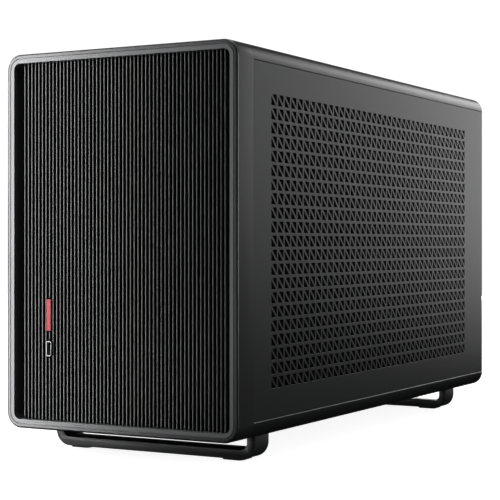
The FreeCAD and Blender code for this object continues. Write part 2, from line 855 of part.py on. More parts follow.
def standoff(row, column):
    place = (tray_inner - d.standoff_height, board_rear - row, board_bottom + column)
    post = doc.addObject("Part::Prism", "standoff_post")
    post.Polygon = 6
    bind(post, "Circumradius", d.standoff_radius)
    bind(post, "Height", d.standoff_height)
    put(post, place, "X")
    bore = rod("standoff_bore", place, "X", d.standoff_bore, d.standoff_height)
    return cut("standoff", post, bore)


group("standoffs", [standoff(row, column) for row, column in standoff_places])

# Power supply bracket on the floor in front of the tray

supply_z = floor + d.supply_center_height
supply_plate_front = d.tray_front - d.shell_sheet
psu_bracket = new_body("psu_bracket")
pad(psu_bracket, "Y", supply_plate_front, d.tray_front, rectangle(
    -d.supply_plate_left, floor, tray_edge, floor + d.supply_plate_height))
pad(psu_bracket, "Z", floor, floor + d.shell_sheet, rectangle(
    -d.supply_plate_left, supply_plate_front - d.supply_flange, tray_edge, supply_plate_front))
supply_holes = [
    circle(supply_x + i * d.supply_screws_across / 2, supply_z + j * d.supply_screws_up / 2, d.supply_screw_radius)
    for i in (-1, 1)
    for j in (-1, 1)
]
pocket(psu_bracket, "Y", supply_plate_front, d.tray_front, centered(
    supply_x, supply_z, d.supply_window_width, d.supply_window_height, d.opening_radius), *supply_holes)
pocket(psu_bracket, "Z", floor, floor + d.shell_sheet, *[circle(x, y, screw_hole) for x, y in supply_screw_places])
supply_grip = 2 * d.shell_sheet
group("psu_bracket_screws", [
    screw((x, y, floor + d.shell_sheet), "Z", supply_grip) for x, y in supply_screw_places])

# Drive trays on the cable side of the motherboard tray

def drive_tray(name, low):
    body = new_body(name)
    foot = tray_outer + d.drive_sheet
    web = tray_outer + d.drive_stand
    under = web - d.drive_sheet
    leg = d.drive_length / 2
    toe = leg + d.drive_foot
    y = d.drive_offset
    pad(body, "Z", low, low + d.drive_width, outline(
        (tray_outer, y - toe), (foot, y - toe), (foot, y - leg), (web, y - leg),
        (web, y + leg), (foot, y + leg), (foot, y + toe), (tray_outer, y + toe),
        (tray_outer, y + leg - d.drive_sheet), (under, y + leg - d.drive_sheet),
        (under, y - leg + d.drive_sheet), (tray_outer, y - leg + d.drive_sheet)))
    center = low + d.drive_width / 2
    holes = [
        circle(y + i * d.drive_holes_long / 2, center + j * d.drive_holes_wide / 2, d.drive_hole_radius)
        for i in (-1, 1)
        for j in (-1, 1)
    ]
    pocket(body, "X", under, web, *holes)
    feet = [circle(y + side * drive_reach, center, screw_hole) for side in (-1, 1)]
    pocket(body, "X", tray_outer, foot, *feet)


for name, level in zip(("drive_tray_lower", "drive_tray_upper"), drive_levels):
    drive_tray(name, level)
drive_grip = d.drive_sheet + d.shell_sheet
group("drive_tray_screws", [
    screw((tray_outer + d.drive_sheet, y, z), "X", drive_grip) for y, z in drive_screw_places])

# Side panels with their vents and snap studs, and the sockets in the rails

def side_panel(name, low, high):
    body = new_body(name)
    pad(body, "X", low, high, rectangle(
        shell_front, base + seam + d.seam_gap, rear, top - seam - d.seam_gap))
    vents(
        body, "X", low, high,
        (-d.vent_length / 2, middle - d.vent_height / 2), (d.vent_length, d.vent_height),
        (d.vent_columns, d.vent_rows), d.vent_bar, d.vent_diagonal)


def stud(place, axis):
    """A snap stud: a pin that leaves its panel along the axis and ends in a taper."""
    straight = d.stud_length - d.stud_taper
    pin = rod("stud_pin", place, axis, d.stud_radius, straight)
    tip = doc.addObject("Part::Cone", "stud_tip")
    bind(tip, "Radius1", d.stud_radius)
    bind(tip, "Radius2", d.stud_radius / 2)
    bind(tip, "Height", d.stud_taper)
    x, y, z = place
    end = {"X": (x + straight, y, z), "-X": (x - straight, y, z), "Y": (x, y + straight, z)}[axis]
    return fuse("stud", pin, put(tip, end, axis))


def socket(place, axis):
    """A moulded bush in a sheet, seen from its outer face at a place, with its rim behind the sheet."""
    x, y, z = place
    sheet_back = {
        "X": (x + d.shell_sheet, y, z), "-X": (x - d.shell_sheet, y, z), "Y": (x, y + d.shell_sheet, z)}[axis]
    neck = rod("socket_neck", place, axis, d.socket_radius, d.shell_sheet)
    rim = rod("socket_back", sheet_back, axis, d.socket_rim_radius, d.socket_rim)
    bore = rod(
        "socket_bore", place, axis, d.stud_radius + d.stud_clearance, d.shell_sheet + d.socket_rim)
    return cut("socket", fuse("socket_blank", neck, rim), bore)


side_panel("right_side_panel", panel_inner, half_width)
side_panel("left_side_panel", -half_width, -panel_inner)

# Fine dust nets that line the side vents

net_half_length = d.vent_length / 2 + d.net_margin
net_half_height = d.vent_height / 2 + d.net_margin
right_panel_net = new_body("right_panel_net")
pad(right_panel_net, "X", panel_inner - d.filter_sheet, panel_inner, rectangle(
    -net_half_length, middle - net_half_height, net_half_length, middle + net_half_height, d.net_margin))
left_panel_net = new_body("left_panel_net")
pad(left_panel_net, "X", -panel_inner, -panel_inner + d.filter_sheet, rectangle(
    -net_half_length, middle - net_half_height, net_half_length, middle + net_half_height, d.net_margin))

# Studs of the side panels and their sockets in the rails

for side, sign, inward in (("right", 1, "-X"), ("left", -1, "X")):
    group(f"{side}_panel_studs", [stud((sign * panel_inner, y, z), inward) for y, z in side_stud_places])
    group(f"{side}_panel_sockets", [socket((sign * rail_face, y, z), inward) for y, z in side_stud_places])

# Front bezel: a round-cornered frame with a ledge that the grille and the filter rest on

grille_back = front + d.grille_depth
ledge_back = grille_back + d.ledge_thickness
bezel_back = front + d.bezel_depth
bezel_inset = half_width - d.bezel_wall
bezel_low = base + d.bezel_wall
bezel_high = top - d.bezel_wall
ledge_half = bezel_inset - d.ledge_width
ledge_bottom = bezel_low + d.ledge_width
ledge_top = bezel_high - d.ledge_width

front_bezel = new_body("front_bezel")
block = pad(front_bezel, "Y", front, bezel_back, rectangle(-half_width, base, half_width, top, d.edge_radius))
doc.recompute()
front_edges = [
    f"Edge{place}" for place, edge in enumerate(block.Shape.Edges, start=1)
    if all(abs(vertex.Y - float(front)) < 1e-6 for vertex in edge.Vertexes)
]
rounding = front_bezel.newObject("PartDesign::Fillet", "front_bezel_round")
rounding.Base = (block, front_edges)
bind(rounding, "Radius", d.bezel_round)
front_bezel.Tip = rounding
bezel_corner = d.edge_radius - d.bezel_wall
pocket(front_bezel, "Y", front, grille_back, rectangle(
    -bezel_inset, bezel_low, bezel_inset, bezel_high, bezel_corner))
pocket(front_bezel, "Y", grille_back, ledge_back, rectangle(
    -ledge_half, ledge_bottom, ledge_half, ledge_top, d.opening_radius))
pocket(front_bezel, "Y", ledge_back, bezel_back, rectangle(
    -bezel_inset, bezel_low, bezel_inset, bezel_high, bezel_corner))

# Flat ring inside the bezel, flush with its front

ring_half = bezel_inset - d.groove
ring_low = bezel_low + d.groove
ring_high = bezel_high - d.groove
opening_half = ring_half - d.ring_width
opening_low = ring_low + d.ring_width
opening_high = ring_high - d.ring_width

grille_ring = new_body("grille_ring")
pad(
    grille_ring, "Y", front, grille_back,
    rectangle(-ring_half, ring_low, ring_half, ring_high, bezel_corner - d.groove),
    rectangle(-opening_half, opening_low, opening_half, opening_high, d.opening_radius))

# Front grille: upright fins on a thin back frame that fills the ring and rests on the ledge

fin_front = front + d.fin_recess
first_fin = -(d.fin_count - 1) * d.fin_pitch / 2
control_x = first_fin + d.control_fin * d.fin_pitch
button_z = base + d.button_height
port_z = base + d.port_height
tie_levels = [middle + step * d.tie_spacing for step in (-1, 0, 1)]
window_lows = [ledge_bottom] + [level + d.tie_height / 2 for level in tie_levels]
window_highs = [level - d.tie_height / 2 for level in tie_levels] + [ledge_top]
windows = [rectangle(-ledge_half, low, ledge_half, high) for low, high in zip(window_lows, window_highs)]

front_grille = new_body("front_grille")
pad(
    front_grille, "Y", grille_back - d.tie_depth, grille_back,
    rectangle(-opening_half, opening_low, opening_half, opening_high, d.opening_radius), *windows)
fin = pad(front_grille, "Y", fin_front, grille_back, rectangle(
    first_fin - d.fin_width / 2, opening_low, first_fin + d.fin_width / 2, opening_high))
repeat(front_grille, fin, ("X", d.fin_pitch, d.fin_count))
control_cuts = [
    centered(control_x, level, width + 2 * d.control_side_gap, length + 2 * d.control_gap)
    for level, width, length in (
        (button_z, d.button_width, d.button_length), (port_z, d.port_width, d.port_length))
]
pocket(front_grille, "Y", fin_front, grille_back, *control_cuts)

# Housing, board and switch behind the button and the port

board_back = bezel_back - d.board_clearance
board_front = board_back - d.board_thickness
housing_low = port_z - d.port_length / 2 - d.housing_margin
housing_high = button_z + d.button_length / 2 + d.housing_margin
housing_left = control_x - d.housing_half_width
housing_right = control_x + d.housing_half_width
housing_face = grille_back + d.housing_wall

control_housing = new_body("control_housing")
pad(control_housing, "Y", grille_back, board_front, rectangle(
    housing_left, housing_low, housing_right, housing_high))
pocket(control_housing, "Y", housing_face, board_front, rectangle(
    housing_left + d.housing_wall, housing_low + d.housing_wall,
    housing_right - d.housing_wall, housing_high - d.housing_wall))
pocket(
    control_housing, "Y", grille_back, housing_face,
    centered(control_x, button_z, d.button_width + 2 * d.fit_gap, d.button_length + 2 * d.fit_gap),
    centered(control_x, port_z, d.port_width + 2 * d.fit_gap, d.port_length + 2 * d.fit_gap))

control_board = new_body("control_board")
pad(control_board, "Y", board_front, board_back, rectangle(
    housing_left, housing_low, housing_right, housing_high))

rim_front = housing_face + d.button_rest_gap
rim_back = rim_front + d.button_rim_depth
power_button = new_body("power_button")
pad(power_button, "Y", fin_front - d.button_proud, rim_front, centered(
    control_x, button_z, d.button_width, d.button_length, d.fit_gap))
pad(power_button, "Y", rim_front, rim_back, centered(
    control_x, button_z, d.button_width + 2 * d.button_rim, d.button_length + 2 * d.button_rim))

plunger_front = rim_back + d.button_travel + d.fit_gap
switch_front = board_front - d.switch_height
power_switch = new_body("power_switch")
pad(power_switch, "Y", switch_front, board_front, centered(control_x, button_z, d.switch_size, d.switch_size))
pad(power_switch, "Y", plunger_front, switch_front, circle(control_x, button_z, d.switch_plunger))

# USB-C port: a metal collar that stands proud of the fins, with the socket's tongue inside

port_front = fin_front - d.button_proud
port_back = port_front + d.port_depth
port_inner_width = d.port_width - 2 * d.port_wall
port_inner_length = d.port_length - 2 * d.port_wall
port_rim_back = housing_face + d.port_rim_depth

usb_c_collar = new_body("usb_c_collar")
pad(usb_c_collar, "Y", port_front, port_back, centered(
    control_x, port_z, d.port_width, d.port_length, d.port_radius))
pad(usb_c_collar, "Y", housing_face, port_rim_back, centered(
    control_x, port_z, d.port_width + 2 * d.port_rim, d.port_length + 2 * d.port_rim))
pocket(usb_c_collar, "Y", port_front, port_back, centered(
    control_x, port_z, port_inner_width, port_inner_length, d.port_radius - d.port_wall))

inlay_front = board_front - d.port_inlay_depth
usb_c_tongue = new_body("usb_c_tongue")
pad(usb_c_tongue, "Y", inlay_front, board_front, centered(
    control_x, port_z, port_inner_width - d.fit_gap, port_inner_length - d.fit_gap,
    d.port_radius - d.port_wall - d.fit_gap / 2))
pad(usb_c_tongue, "Y", inlay_front - d.port_tongue_reach, inlay_front, centered(
    control_x, port_z, d.port_tongue, d.port_tongue_length))

# Dust filter behind the ledge, notched round the control housing

filter_half = ledge_half + d.filter_lap
filter_low = ledge_bottom - d.filter_lap
filter_high = ledge_top + d.filter_lap
mesh_back = ledge_back + d.filter_sheet
filter_notch = rectangle(
    housing_left - d.fit_gap, housing_low - d.fit_gap, housing_right + d.fit_gap, housing_high + d.fit_gap)

filter_mesh = new_body("filter_mesh")
pad(filter_mesh, "Y", ledge_back, mesh_back, rectangle(
    -filter_half, filter_low, filter_half, filter_high, d.opening_radius))
pocket(filter_mesh, "Y", ledge_back, mesh_back, filter_notch)

filter_frame = new_body("filter_frame")
filter_back = mesh_back + d.filter_depth
notch_border = d.filter_border / 2
pad(filter_frame, "Y", mesh_back, filter_back, rectangle(
    -filter_half, filter_low, filter_half, filter_high, d.opening_radius))
inner_low = filter_low + d.filter_border
inner_high = filter_high - d.filter_border
bar_left = housing_left - d.fit_gap - notch_border
bar_right = housing_right + d.fit_gap + notch_border
pocket(
    filter_frame, "Y", mesh_back, filter_back,
    rectangle(-filter_half + d.filter_border, inner_low, bar_left, inner_high),
    rectangle(bar_right, inner_low, filter_half - d.filter_border, inner_high),
    rectangle(bar_left + notch_border, housing_high + d.fit_gap + notch_border,
              bar_right - notch_border, inner_high),
    filter_notch)

# Snap studs behind the bezel ledge and their sockets in the front plate

def front_stud(x, z):
    reach = shell_front - ledge_back
    root = rod("stud_root", (x, ledge_back, z), "Y", d.stud_radius, reach)
    return fuse("front_stud", root, stud((x, shell_front, z), "Y"))


group("front_panel_studs", [front_stud(x, z) for x, z in front_stud_places])
group("front_panel_sockets", [socket((x, shell_front, z), "Y") for x, z in front_stud_places])

# Feet: two bent flat bars across the width, each on two rubber pads

def foot_bar(name, start):
    body = new_body(name)
    inner = foot_half - d.foot_bar
    inner_bend = d.foot_bend - d.foot_bar
    pad(body, "Y", start, start + d.foot_depth, outline(
        (-foot_half, base), (-foot_half, d.pad_height, d.foot_bend), (foot_half, d.pad_height, d.foot_bend),
        (foot_half, base), (inner, base), (inner, d.pad_height + d.foot_bar, inner_bend),
        (-inner, d.pad_height + d.foot_bar, inner_bend), (-inner, base)))
    holes = [circle(x, y, screw_hole) for x, y in foot_screw_places(start)]
    pocket(body, "Z", base - d.foot_screw_depth, base, *holes)


def foot_pad(name, start, side):
    body = new_body(name)
    outer = foot_half - d.foot_bend
    near, far = side * outer, side * (outer - d.pad_length)
    low, high = (near, far) if side < 0 else (far, near)
    pad(body, "Z", Formula("0"), d.pad_height, rectangle(
        low, start + d.pad_side_gap, high, start + d.foot_depth - d.pad_side_gap, d.pad_corner))


for end, start in zip(("front", "rear"), foot_starts):
    foot_bar(f"{end}_foot_bar", start)
    for side, sign in (("left", -1), ("right", 1)):
        foot_pad(f"{end}_{side}_foot_pad", start, sign)
group("foot_screws", [
    screw((x, y, floor), "Z", d.shell_sheet) for start in foot_starts for x, y in foot_screw_places(start)])

# Check every object, then write one file for each piece

doc.recompute()
failed = [item.Name for item in doc.Objects if "Invalid" in item.State or "Error" in item.State]
if failed:
    raise RuntimeError("objects that failed: " + ", ".join(failed))
bad = [name for name, piece in pieces.items() if piece.Shape.isNull() or not piece.Shape.isValid()]
if bad:
    raise RuntimeError("pieces without a valid shape: " + ", ".join(bad))

os.makedirs("parts", exist_ok=True)
for name, piece in pieces.items():
    piece.Shape.exportStep(os.path.join("parts", f"{name}.step"))
    print(f"{name}: {len(piece.Shape.Solids)} solid(s), {piece.Shape.Volume:.0f} mm3")
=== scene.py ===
"""Looks of a compact micro-ATX computer case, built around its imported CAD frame."""
import json
import math
from typing import NamedTuple

import bmesh
import bpy
from bpy.props import FloatProperty, FloatVectorProperty, IntProperty, PointerProperty
from mathutils import Matrix, Vector


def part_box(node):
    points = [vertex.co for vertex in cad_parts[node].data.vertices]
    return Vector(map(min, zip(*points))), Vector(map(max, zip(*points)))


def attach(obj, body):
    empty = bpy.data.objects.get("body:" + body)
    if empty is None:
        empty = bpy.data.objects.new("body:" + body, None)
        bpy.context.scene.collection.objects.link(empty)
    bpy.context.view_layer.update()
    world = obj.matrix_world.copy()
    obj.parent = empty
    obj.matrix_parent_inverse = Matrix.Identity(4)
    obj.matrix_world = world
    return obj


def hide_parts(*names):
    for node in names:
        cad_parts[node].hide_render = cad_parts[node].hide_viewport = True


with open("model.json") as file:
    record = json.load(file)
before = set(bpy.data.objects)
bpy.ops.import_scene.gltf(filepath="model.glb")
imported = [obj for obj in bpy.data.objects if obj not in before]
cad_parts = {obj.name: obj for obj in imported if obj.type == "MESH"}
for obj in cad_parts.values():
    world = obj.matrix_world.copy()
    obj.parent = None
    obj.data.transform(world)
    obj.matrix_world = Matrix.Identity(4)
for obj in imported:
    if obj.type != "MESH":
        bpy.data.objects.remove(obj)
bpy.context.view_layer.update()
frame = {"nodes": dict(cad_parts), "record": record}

bl_info = {
    "name": "Micro-ATX Case",
    "version": (1, 0, 0),
    "blender": (4, 5, 0),
    "location": "3D View > Sidebar > Case",
    "description": "Vented panels, finned front, feet and finishes of a compact computer case",
    "category": "Object",
}

MM = 0.001
WHITE = (1, 1, 1, 1)

# Points within these distances count as level, are merged, or snap to a cut
NEAR = MM / 100
MERGE_REACH = MM / 1000
CUT_SNAP = MM / 10000

# Edges that turn by more than the first angle are sharp, and those that turn by less than the second are flat
SHARP_ANGLE = 0.6
FLAT_ANGLE = math.radians(0.5)

# Smooth shading stops at edges that turn by more than these
ROUND_SHADING = math.radians(40)
SHEET_SHADING = math.radians(30)

# Facets of a round corner, of a trimmed one, of the corners of the fins' back frame and of a hole
CORNER_SEGMENTS = 10
CORNER_CUTS = 5
SEAT_SEGMENTS = 4
HOLE_SEGMENTS = 24

# Half side of the square that is cut out round a hole, in radii of the hole
HOLE_CLEARANCE = 1.5

# Depth behind a control's front within which its points belong to its face
FACE_DEPTH = MM / 2

# Where a colour mix node keeps its factor, its two colours and its result
MIX_FACTOR, MIX_FIRST, MIX_SECOND, MIX_RESULT = 0, 6, 7, 2


def linear(code):
    """An sRGB hex colour as linear red, green and blue."""
    channels = [int(code[place:place + 2], 16) / 255 for place in (1, 3, 5)]
    return tuple(c / 12.92 if c <= 0.04045 else ((c + 0.055) / 1.055) ** 2.4 for c in channels)


def length(name, description, millimetres):
    """A size that is given in millimetres and kept in metres."""
    return FloatProperty(
        name=name, description=description, default=millimetres * MM, min=0, unit="LENGTH",
        subtype="DISTANCE")


def colour(name, description, code):
    """A colour that is given as sRGB hex and kept as linear."""
    return FloatVectorProperty(
        name=name, description=description, default=linear(code), min=0, max=1, size=3, subtype="COLOR")


class CaseSizes(bpy.types.PropertyGroup):
    """Sizes of the pieces that the scene models itself."""

    vent_columns: IntProperty(
        name="Vent columns", description="Vent cells along a side panel", default=38, min=2)
    vent_rows: IntProperty(
        name="Vent rows", description="Vent cells up a side panel", default=21, min=2)
    vent_length: length("Vent length", "Length of the vent field of a side panel", 393.0)
    vent_height: length("Vent height", "Height of the vent field of a side panel", 213.5)
    vent_bar: length("Vent bar", "Metal left between two vent openings", 2.2)
    top_columns: IntProperty(
        name="Top vent columns", description="Vent cells across the top panel", default=9, min=2)
    top_rows: IntProperty(
        name="Top vent rows", description="Vent cells along the top panel", default=36, min=2)
    top_vent_width: length("Top vent width", "Width of the top vent field", 90.0)
    top_vent_length: length("Top vent length", "Length of the top vent field", 372.0)
    rear_cells: IntProperty(
        name="Rear vent cells", description="Vent cells across the rear fan grille", default=8, min=2)
    rear_vent: length("Rear vent", "Side of the rear fan grille's vent field", 84.0)
    rear_reach: length("Rear vent reach", "Radius inside which the rear grille is punched", 52.0)
    fan_pitch: length("Fan pitch", "Distance between the top fans", 124.0)
    fan_screws: length("Fan screws", "Distance between the screws of a fan", 105.0)
    fan_hole: length("Fan screw hole", "Radius of a fan screw hole", 2.15)
    fan_head: length("Fan head hole", "Radius of the hole round a fan screw's head", 3.4)
    soft_edge: length("Soft edge", "Rounding of a coated sheet edge", 0.1)
    seam_cover: length("Seam cover", "How far a coated edge closes the seam beside it", 0.4)
    case_corner: length("Case corner", "Corner radius of the front frame", 12.0)
    frame_wall: length("Frame wall", "Wall of the front frame", 3.2)
    frame_round: length("Frame round", "Rounding of the frame's front edge", 1.6)
    ring_width: length("Ring width", "Width of the ring round the fins", 2.9)
    ring_lip: length("Ring lip", "Width of the lip that floors the groove round the ring", 0.5)
    groove_depth: length("Groove depth", "Depth of the groove round the ring", 0.8)
    ring_groove: length("Ring groove", "Gap between the frame and the ring", 0.6)
    opening_corner: length("Opening corner", "Corner radius inside the ring", 5.0)
    ledge_width: length("Ledge width", "Width of the ledge behind the ring", 11.0)
    ledge_depth: length("Ledge depth", "Thickness of the ledge behind the ring", 2.5)
    fin_count: IntProperty(name="Fins", description="Upright fins of the front", default=54, min=2)
    fin_pitch: length("Fin pitch", "Distance between the fins", 3.284)
    fin_width: length("Fin width", "Thickness of a fin", 1.3)
    fin_round: length("Fin round", "Rounding of a fin's front edges", 0.25)
    fin_recess: length("Fin recess", "Depth of the fins behind the front face", 5.0)
    tie_height: length("Tie height", "Height of the bars that tie the fins", 5.0)
    tie_depth: length("Tie depth", "Depth of the bars that tie the fins", 2.0)
    tie_spacing: length("Tie spacing", "Distance between the bars that tie the fins", 70.0)
    tie_lap: length("Tie lap", "How far a tie reaches into the fins' back frame at each end", 0.5)
    control_gap: length("Control gap", "Gap above and below the button and the port", 1.2)
    button_round: length("Button round", "Rounding of the power button's edges", 0.3)
    collar_round: length("Collar round", "Rounding of the port collar's edges", 0.15)
    bar_round: length("Bar round", "Rounding of the foot bars' edges", 0.5)
    pad_round: length("Pad round", "Rounding of the foot pads' edges", 0.25)


class CaseColours(bpy.types.PropertyGroup):
    """Colours of the finishes."""

    paint: colour("Paint", "Satin powder coat of the outer sheets", "#1c1d1e")
    frame: colour("Frame", "Front frame", "#1e1f20")
    ring: colour("Ring", "Ring round the fins", "#6a6b6c")
    fins: colour("Fins", "Fins of the front", "#1b1c1d")
    inner: colour("Inner paint", "Matt black paint of the inner sheets", "#1a1a1b")
    feet: colour("Feet", "Anodised foot bars", "#262728")
    rubber: colour("Rubber", "Foot pads", "#161616")
    button: colour("Button", "Power button", "#ee5560")
    plastic: colour("Plastic", "Small black mouldings", "#161617")
    board: colour("Board", "Solder mask of the front board", "#16321f")
    nickel: colour("Nickel", "Plating of the port's collar", "#8f8f91")
    zinc: colour("Zinc", "Plating of the screws", "#a9abad")
    brass: colour("Brass", "Turned standoffs", "#c79a4b")
    floor: colour("Floor", "Studio floor", "#c9c9c9")


class CaseStage(bpy.types.PropertyGroup):
    """Camera, lights and backdrop."""

    lens: FloatProperty(
        name="Lens", description="Focal length", default=103.66, min=1, unit="CAMERA")
    camera_place: FloatVectorProperty(
        name="Camera place", description="Where the camera stands", default=(0.5858, -1.1050, 0.1576),
        size=3, unit="LENGTH", subtype="TRANSLATION")
    camera_turn: FloatProperty(
        name="Camera turn", description="Turn of the level camera to the left of the depth axis",
        default=math.radians(28.96), unit="ROTATION", subtype="ANGLE")
    shift: FloatProperty(
        name="Shift", description="Upright shift that frames the case", default=-0.01376)
    floor_size: length("Floor size", "Side of the studio floor", 200000.0)
    backdrop: FloatProperty(
        name="Backdrop", description="Brightness of the white backdrop", default=1.05, min=0)
    fill: FloatProperty(
        name="Fill", description="Strength of the even light from all round", default=0.006, min=0)
    floor_glow: FloatProperty(
        name="Floor glow", description="Light that the floor gives by itself, which pales its shadows",
        default=0.9, min=0)
    overhead: FloatProperty(
        name="Overhead", description="Strength of the wide soft light from above", default=0.8, min=0)
    overhead_spread: FloatProperty(
        name="Overhead spread", description="Angle over which the light from above comes in",
        default=math.radians(100), unit="ROTATION", subtype="ANGLE")


def settings():
    """The case's sizes, colours and stage."""
    scene = bpy.context.scene
    return scene.case_sizes, scene.case_colours, scene.case_stage


# Materials

def add(tree, kind, links=None, **options):
    """Add a node with its settings; links gives a value or another node's output for each input."""
    node = tree.nodes.new(kind)
    for name, value in options.items():
        setattr(node, name, value)
    for socket, value in (links or {}).items():
        if isinstance(value, bpy.types.NodeSocket):
            tree.links.new(value, node.inputs[socket])
        else:
            node.inputs[socket].default_value = value
    return node


def new_material(name, constants):
    """A material with its shader's constants set, and the node tree to draw its pattern in."""
    material = bpy.data.materials.get(name)
    if material is not None:
        bpy.data.materials.remove(material)
    material = bpy.data.materials.new(name)
    material.use_nodes = True
    shader = material.node_tree.nodes["Principled BSDF"]
    for socket, value in constants.items():
        shader.inputs[socket].default_value = value
    return material, material.node_tree, shader


def coated(name, base, grain, relief, rough, drift, constants):
    """A coat with a fine grain, a range of roughness and a broad drift of tone; sizes are in millimetres."""
    mottle, grain_height = 60, 0.03
    material, tree, shader = new_material(name, constants)
    place = add(tree, "ShaderNodeTexCoord").outputs["Object"]
    fine = add(tree, "ShaderNodeTexNoise", {
        "Vector": place, "Scale": 1 / (grain * MM), "Detail": 2.0, "Roughness": 0.55}).outputs["Fac"]
    broad = add(tree, "ShaderNodeTexNoise", {
        "Vector": place, "Scale": 1 / (mottle * MM), "Detail": 3.0, "Roughness": 0.5}).outputs["Fac"]
    darker = tuple(channel * (1 - drift) for channel in base)
    lighter = tuple(min(1, channel * (1 + drift)) for channel in base)
    tone = add(tree, "ShaderNodeMix", {
        MIX_FACTOR: broad, MIX_FIRST: (*darker, 1), MIX_SECOND: (*lighter, 1)}, data_type="RGBA")
    gloss = add(tree, "ShaderNodeMapRange", {
        "Value": fine, "From Min": 0.25, "From Max": 0.75, "To Min": rough[0], "To Max": rough[1]})
    bump = add(tree, "ShaderNodeBump", {
        "Height": fine, "Strength": relief, "Distance": grain_height * MM})
    tree.links.new(tone.outputs[MIX_RESULT], shader.inputs["Base Color"])
    tree.links.new(gloss.outputs["Result"], shader.inputs["Roughness"])
    tree.links.new(bump.outputs["Normal"], shader.inputs["Normal"])
    return material


def satin_powder_coat(colours):
    # Sprayed powder melts to a thin coat with a faint orange peel, which softens its reflections
    return coated(
        "satin_powder_coat", colours.paint, grain=1.2, relief=0.05, rough=(0.33, 0.38), drift=0.05,
        constants={"IOR": 1.52})


def satin_frame_coat(colours):
    # Satin coat on a smooth moulding, which shines a little more along its edges than the powder coat
    return coated(
        "satin_frame_coat", colours.frame, grain=2.5, relief=0.02, rough=(0.32, 0.34), drift=0.04,
        constants={"IOR": 1.75})


def satin_ring_coat(colours):
    # The ring's coat carries metal flakes, so it shines out between the darker frame and fins
    return coated(
        "satin_ring_coat", colours.ring, grain=2.5, relief=0.02, rough=(0.31, 0.33), drift=0.04,
        constants={"Metallic": 0.35})


def satin_fin_coat(colours):
    # Moulded fins with a smooth dark coat, which keeps a thin highlight down each front
    return coated(
        "satin_fin_coat", colours.fins, grain=2.5, relief=0.002, rough=(0.235, 0.245), drift=0.05,
        constants={"IOR": 1.51})


def matt_black_paint(colours):
    # Dipped matt paint on folded inner sheets: dull, with a slightly uneven film
    return coated(
        "matt_black_paint", colours.inner, grain=0.8, relief=0.2, rough=(0.55, 0.68), drift=0.08,
        constants={"IOR": 1.5})


def black_anodised_bar(colours):
    # Anodised aluminium keeps a fine blasted grain under a dark grey oxide
    return coated(
        "black_anodised_bar", colours.feet, grain=0.35, relief=0.15, rough=(0.4, 0.5), drift=0.06,
        constants={"IOR": 1.5})


def moulded_rubber(colours):
    # Rubber from a sparked mould: matt and faintly mottled
    return coated(
        "moulded_rubber", colours.rubber, grain=0.5, relief=0.5, rough=(0.75, 0.9), drift=0.12,
        constants={"IOR": 1.52})


def red_polycarbonate(colours):
    # Red moulding with a silky face: an even tone and low, soft highlights
    return coated(
        "red_polycarbonate", colours.button, grain=1.2, relief=0.05, rough=(0.5, 0.56), drift=0.03,
        constants={"IOR": 1.45})


def black_moulding(colours):
    # Glass-filled nylon from a sparked mould: dark, with a fine dull texture
    return coated(
        "black_moulding", colours.plastic, grain=0.4, relief=0.35, rough=(0.5, 0.62), drift=0.08,
        constants={"IOR": 1.53})


def solder_mask(colours):
    # Cured lacquer over copper: glossy and slightly wavy
    return coated(
        "solder_mask", colours.board, grain=1.5, relief=0.2, rough=(0.2, 0.3), drift=0.1,
        constants={"IOR": 1.52})


def painted_floor(colours, glow):
    # Flat white floor paint: pale, with no gloss; its own glow keeps the shadows light
    return coated(
        "painted_floor", colours.floor, grain=2.0, relief=0.05, rough=(0.7, 0.8), drift=0.01,
        constants={"Specular IOR Level": 0.0, "Emission Color": WHITE, "Emission Strength": glow})


def bright_metal(name, base, rough):
    """Bare or plated metal whose fine grain breaks up its gloss; sizes are in millimetres."""
    grain, grain_height, change = 0.3, 0.01, 0.06
    material, tree, shader = new_material(name, {"Metallic": 1.0, "Base Color": (*base, 1)})
    place = add(tree, "ShaderNodeTexCoord").outputs["Object"]
    fine = add(tree, "ShaderNodeTexNoise", {
        "Vector": place, "Scale": 1 / (grain * MM), "Detail": 3.0, "Roughness": 0.6}).outputs["Fac"]
    gloss = add(tree, "ShaderNodeMapRange", {
        "Value": fine, "From Min": 0.3, "From Max": 0.7, "To Min": rough - change, "To Max": rough + change})
    bump = add(tree, "ShaderNodeBump", {"Height": fine, "Strength": 0.2, "Distance": grain_height * MM})
    tree.links.new(gloss.outputs["Result"], shader.inputs["Roughness"])
    tree.links.new(bump.outputs["Normal"], shader.inputs["Normal"])
    return material


def nickel_plated_steel(colours):
    # Satin nickel on a drawn collar: a soft grey shine
    return bright_metal("nickel_plated_steel", colours.nickel, rough=0.42)


def zinc_plated_steel(colours):
    # Bright zinc on small screws: a cool shine with blurred reflections
    return bright_metal("zinc_plated_steel", colours.zinc, rough=0.32)


def turned_brass(colours):
    # Brass from the lathe: yellow, and the glossiest of the metals here
    return bright_metal("turned_brass", colours.brass, rough=0.28)


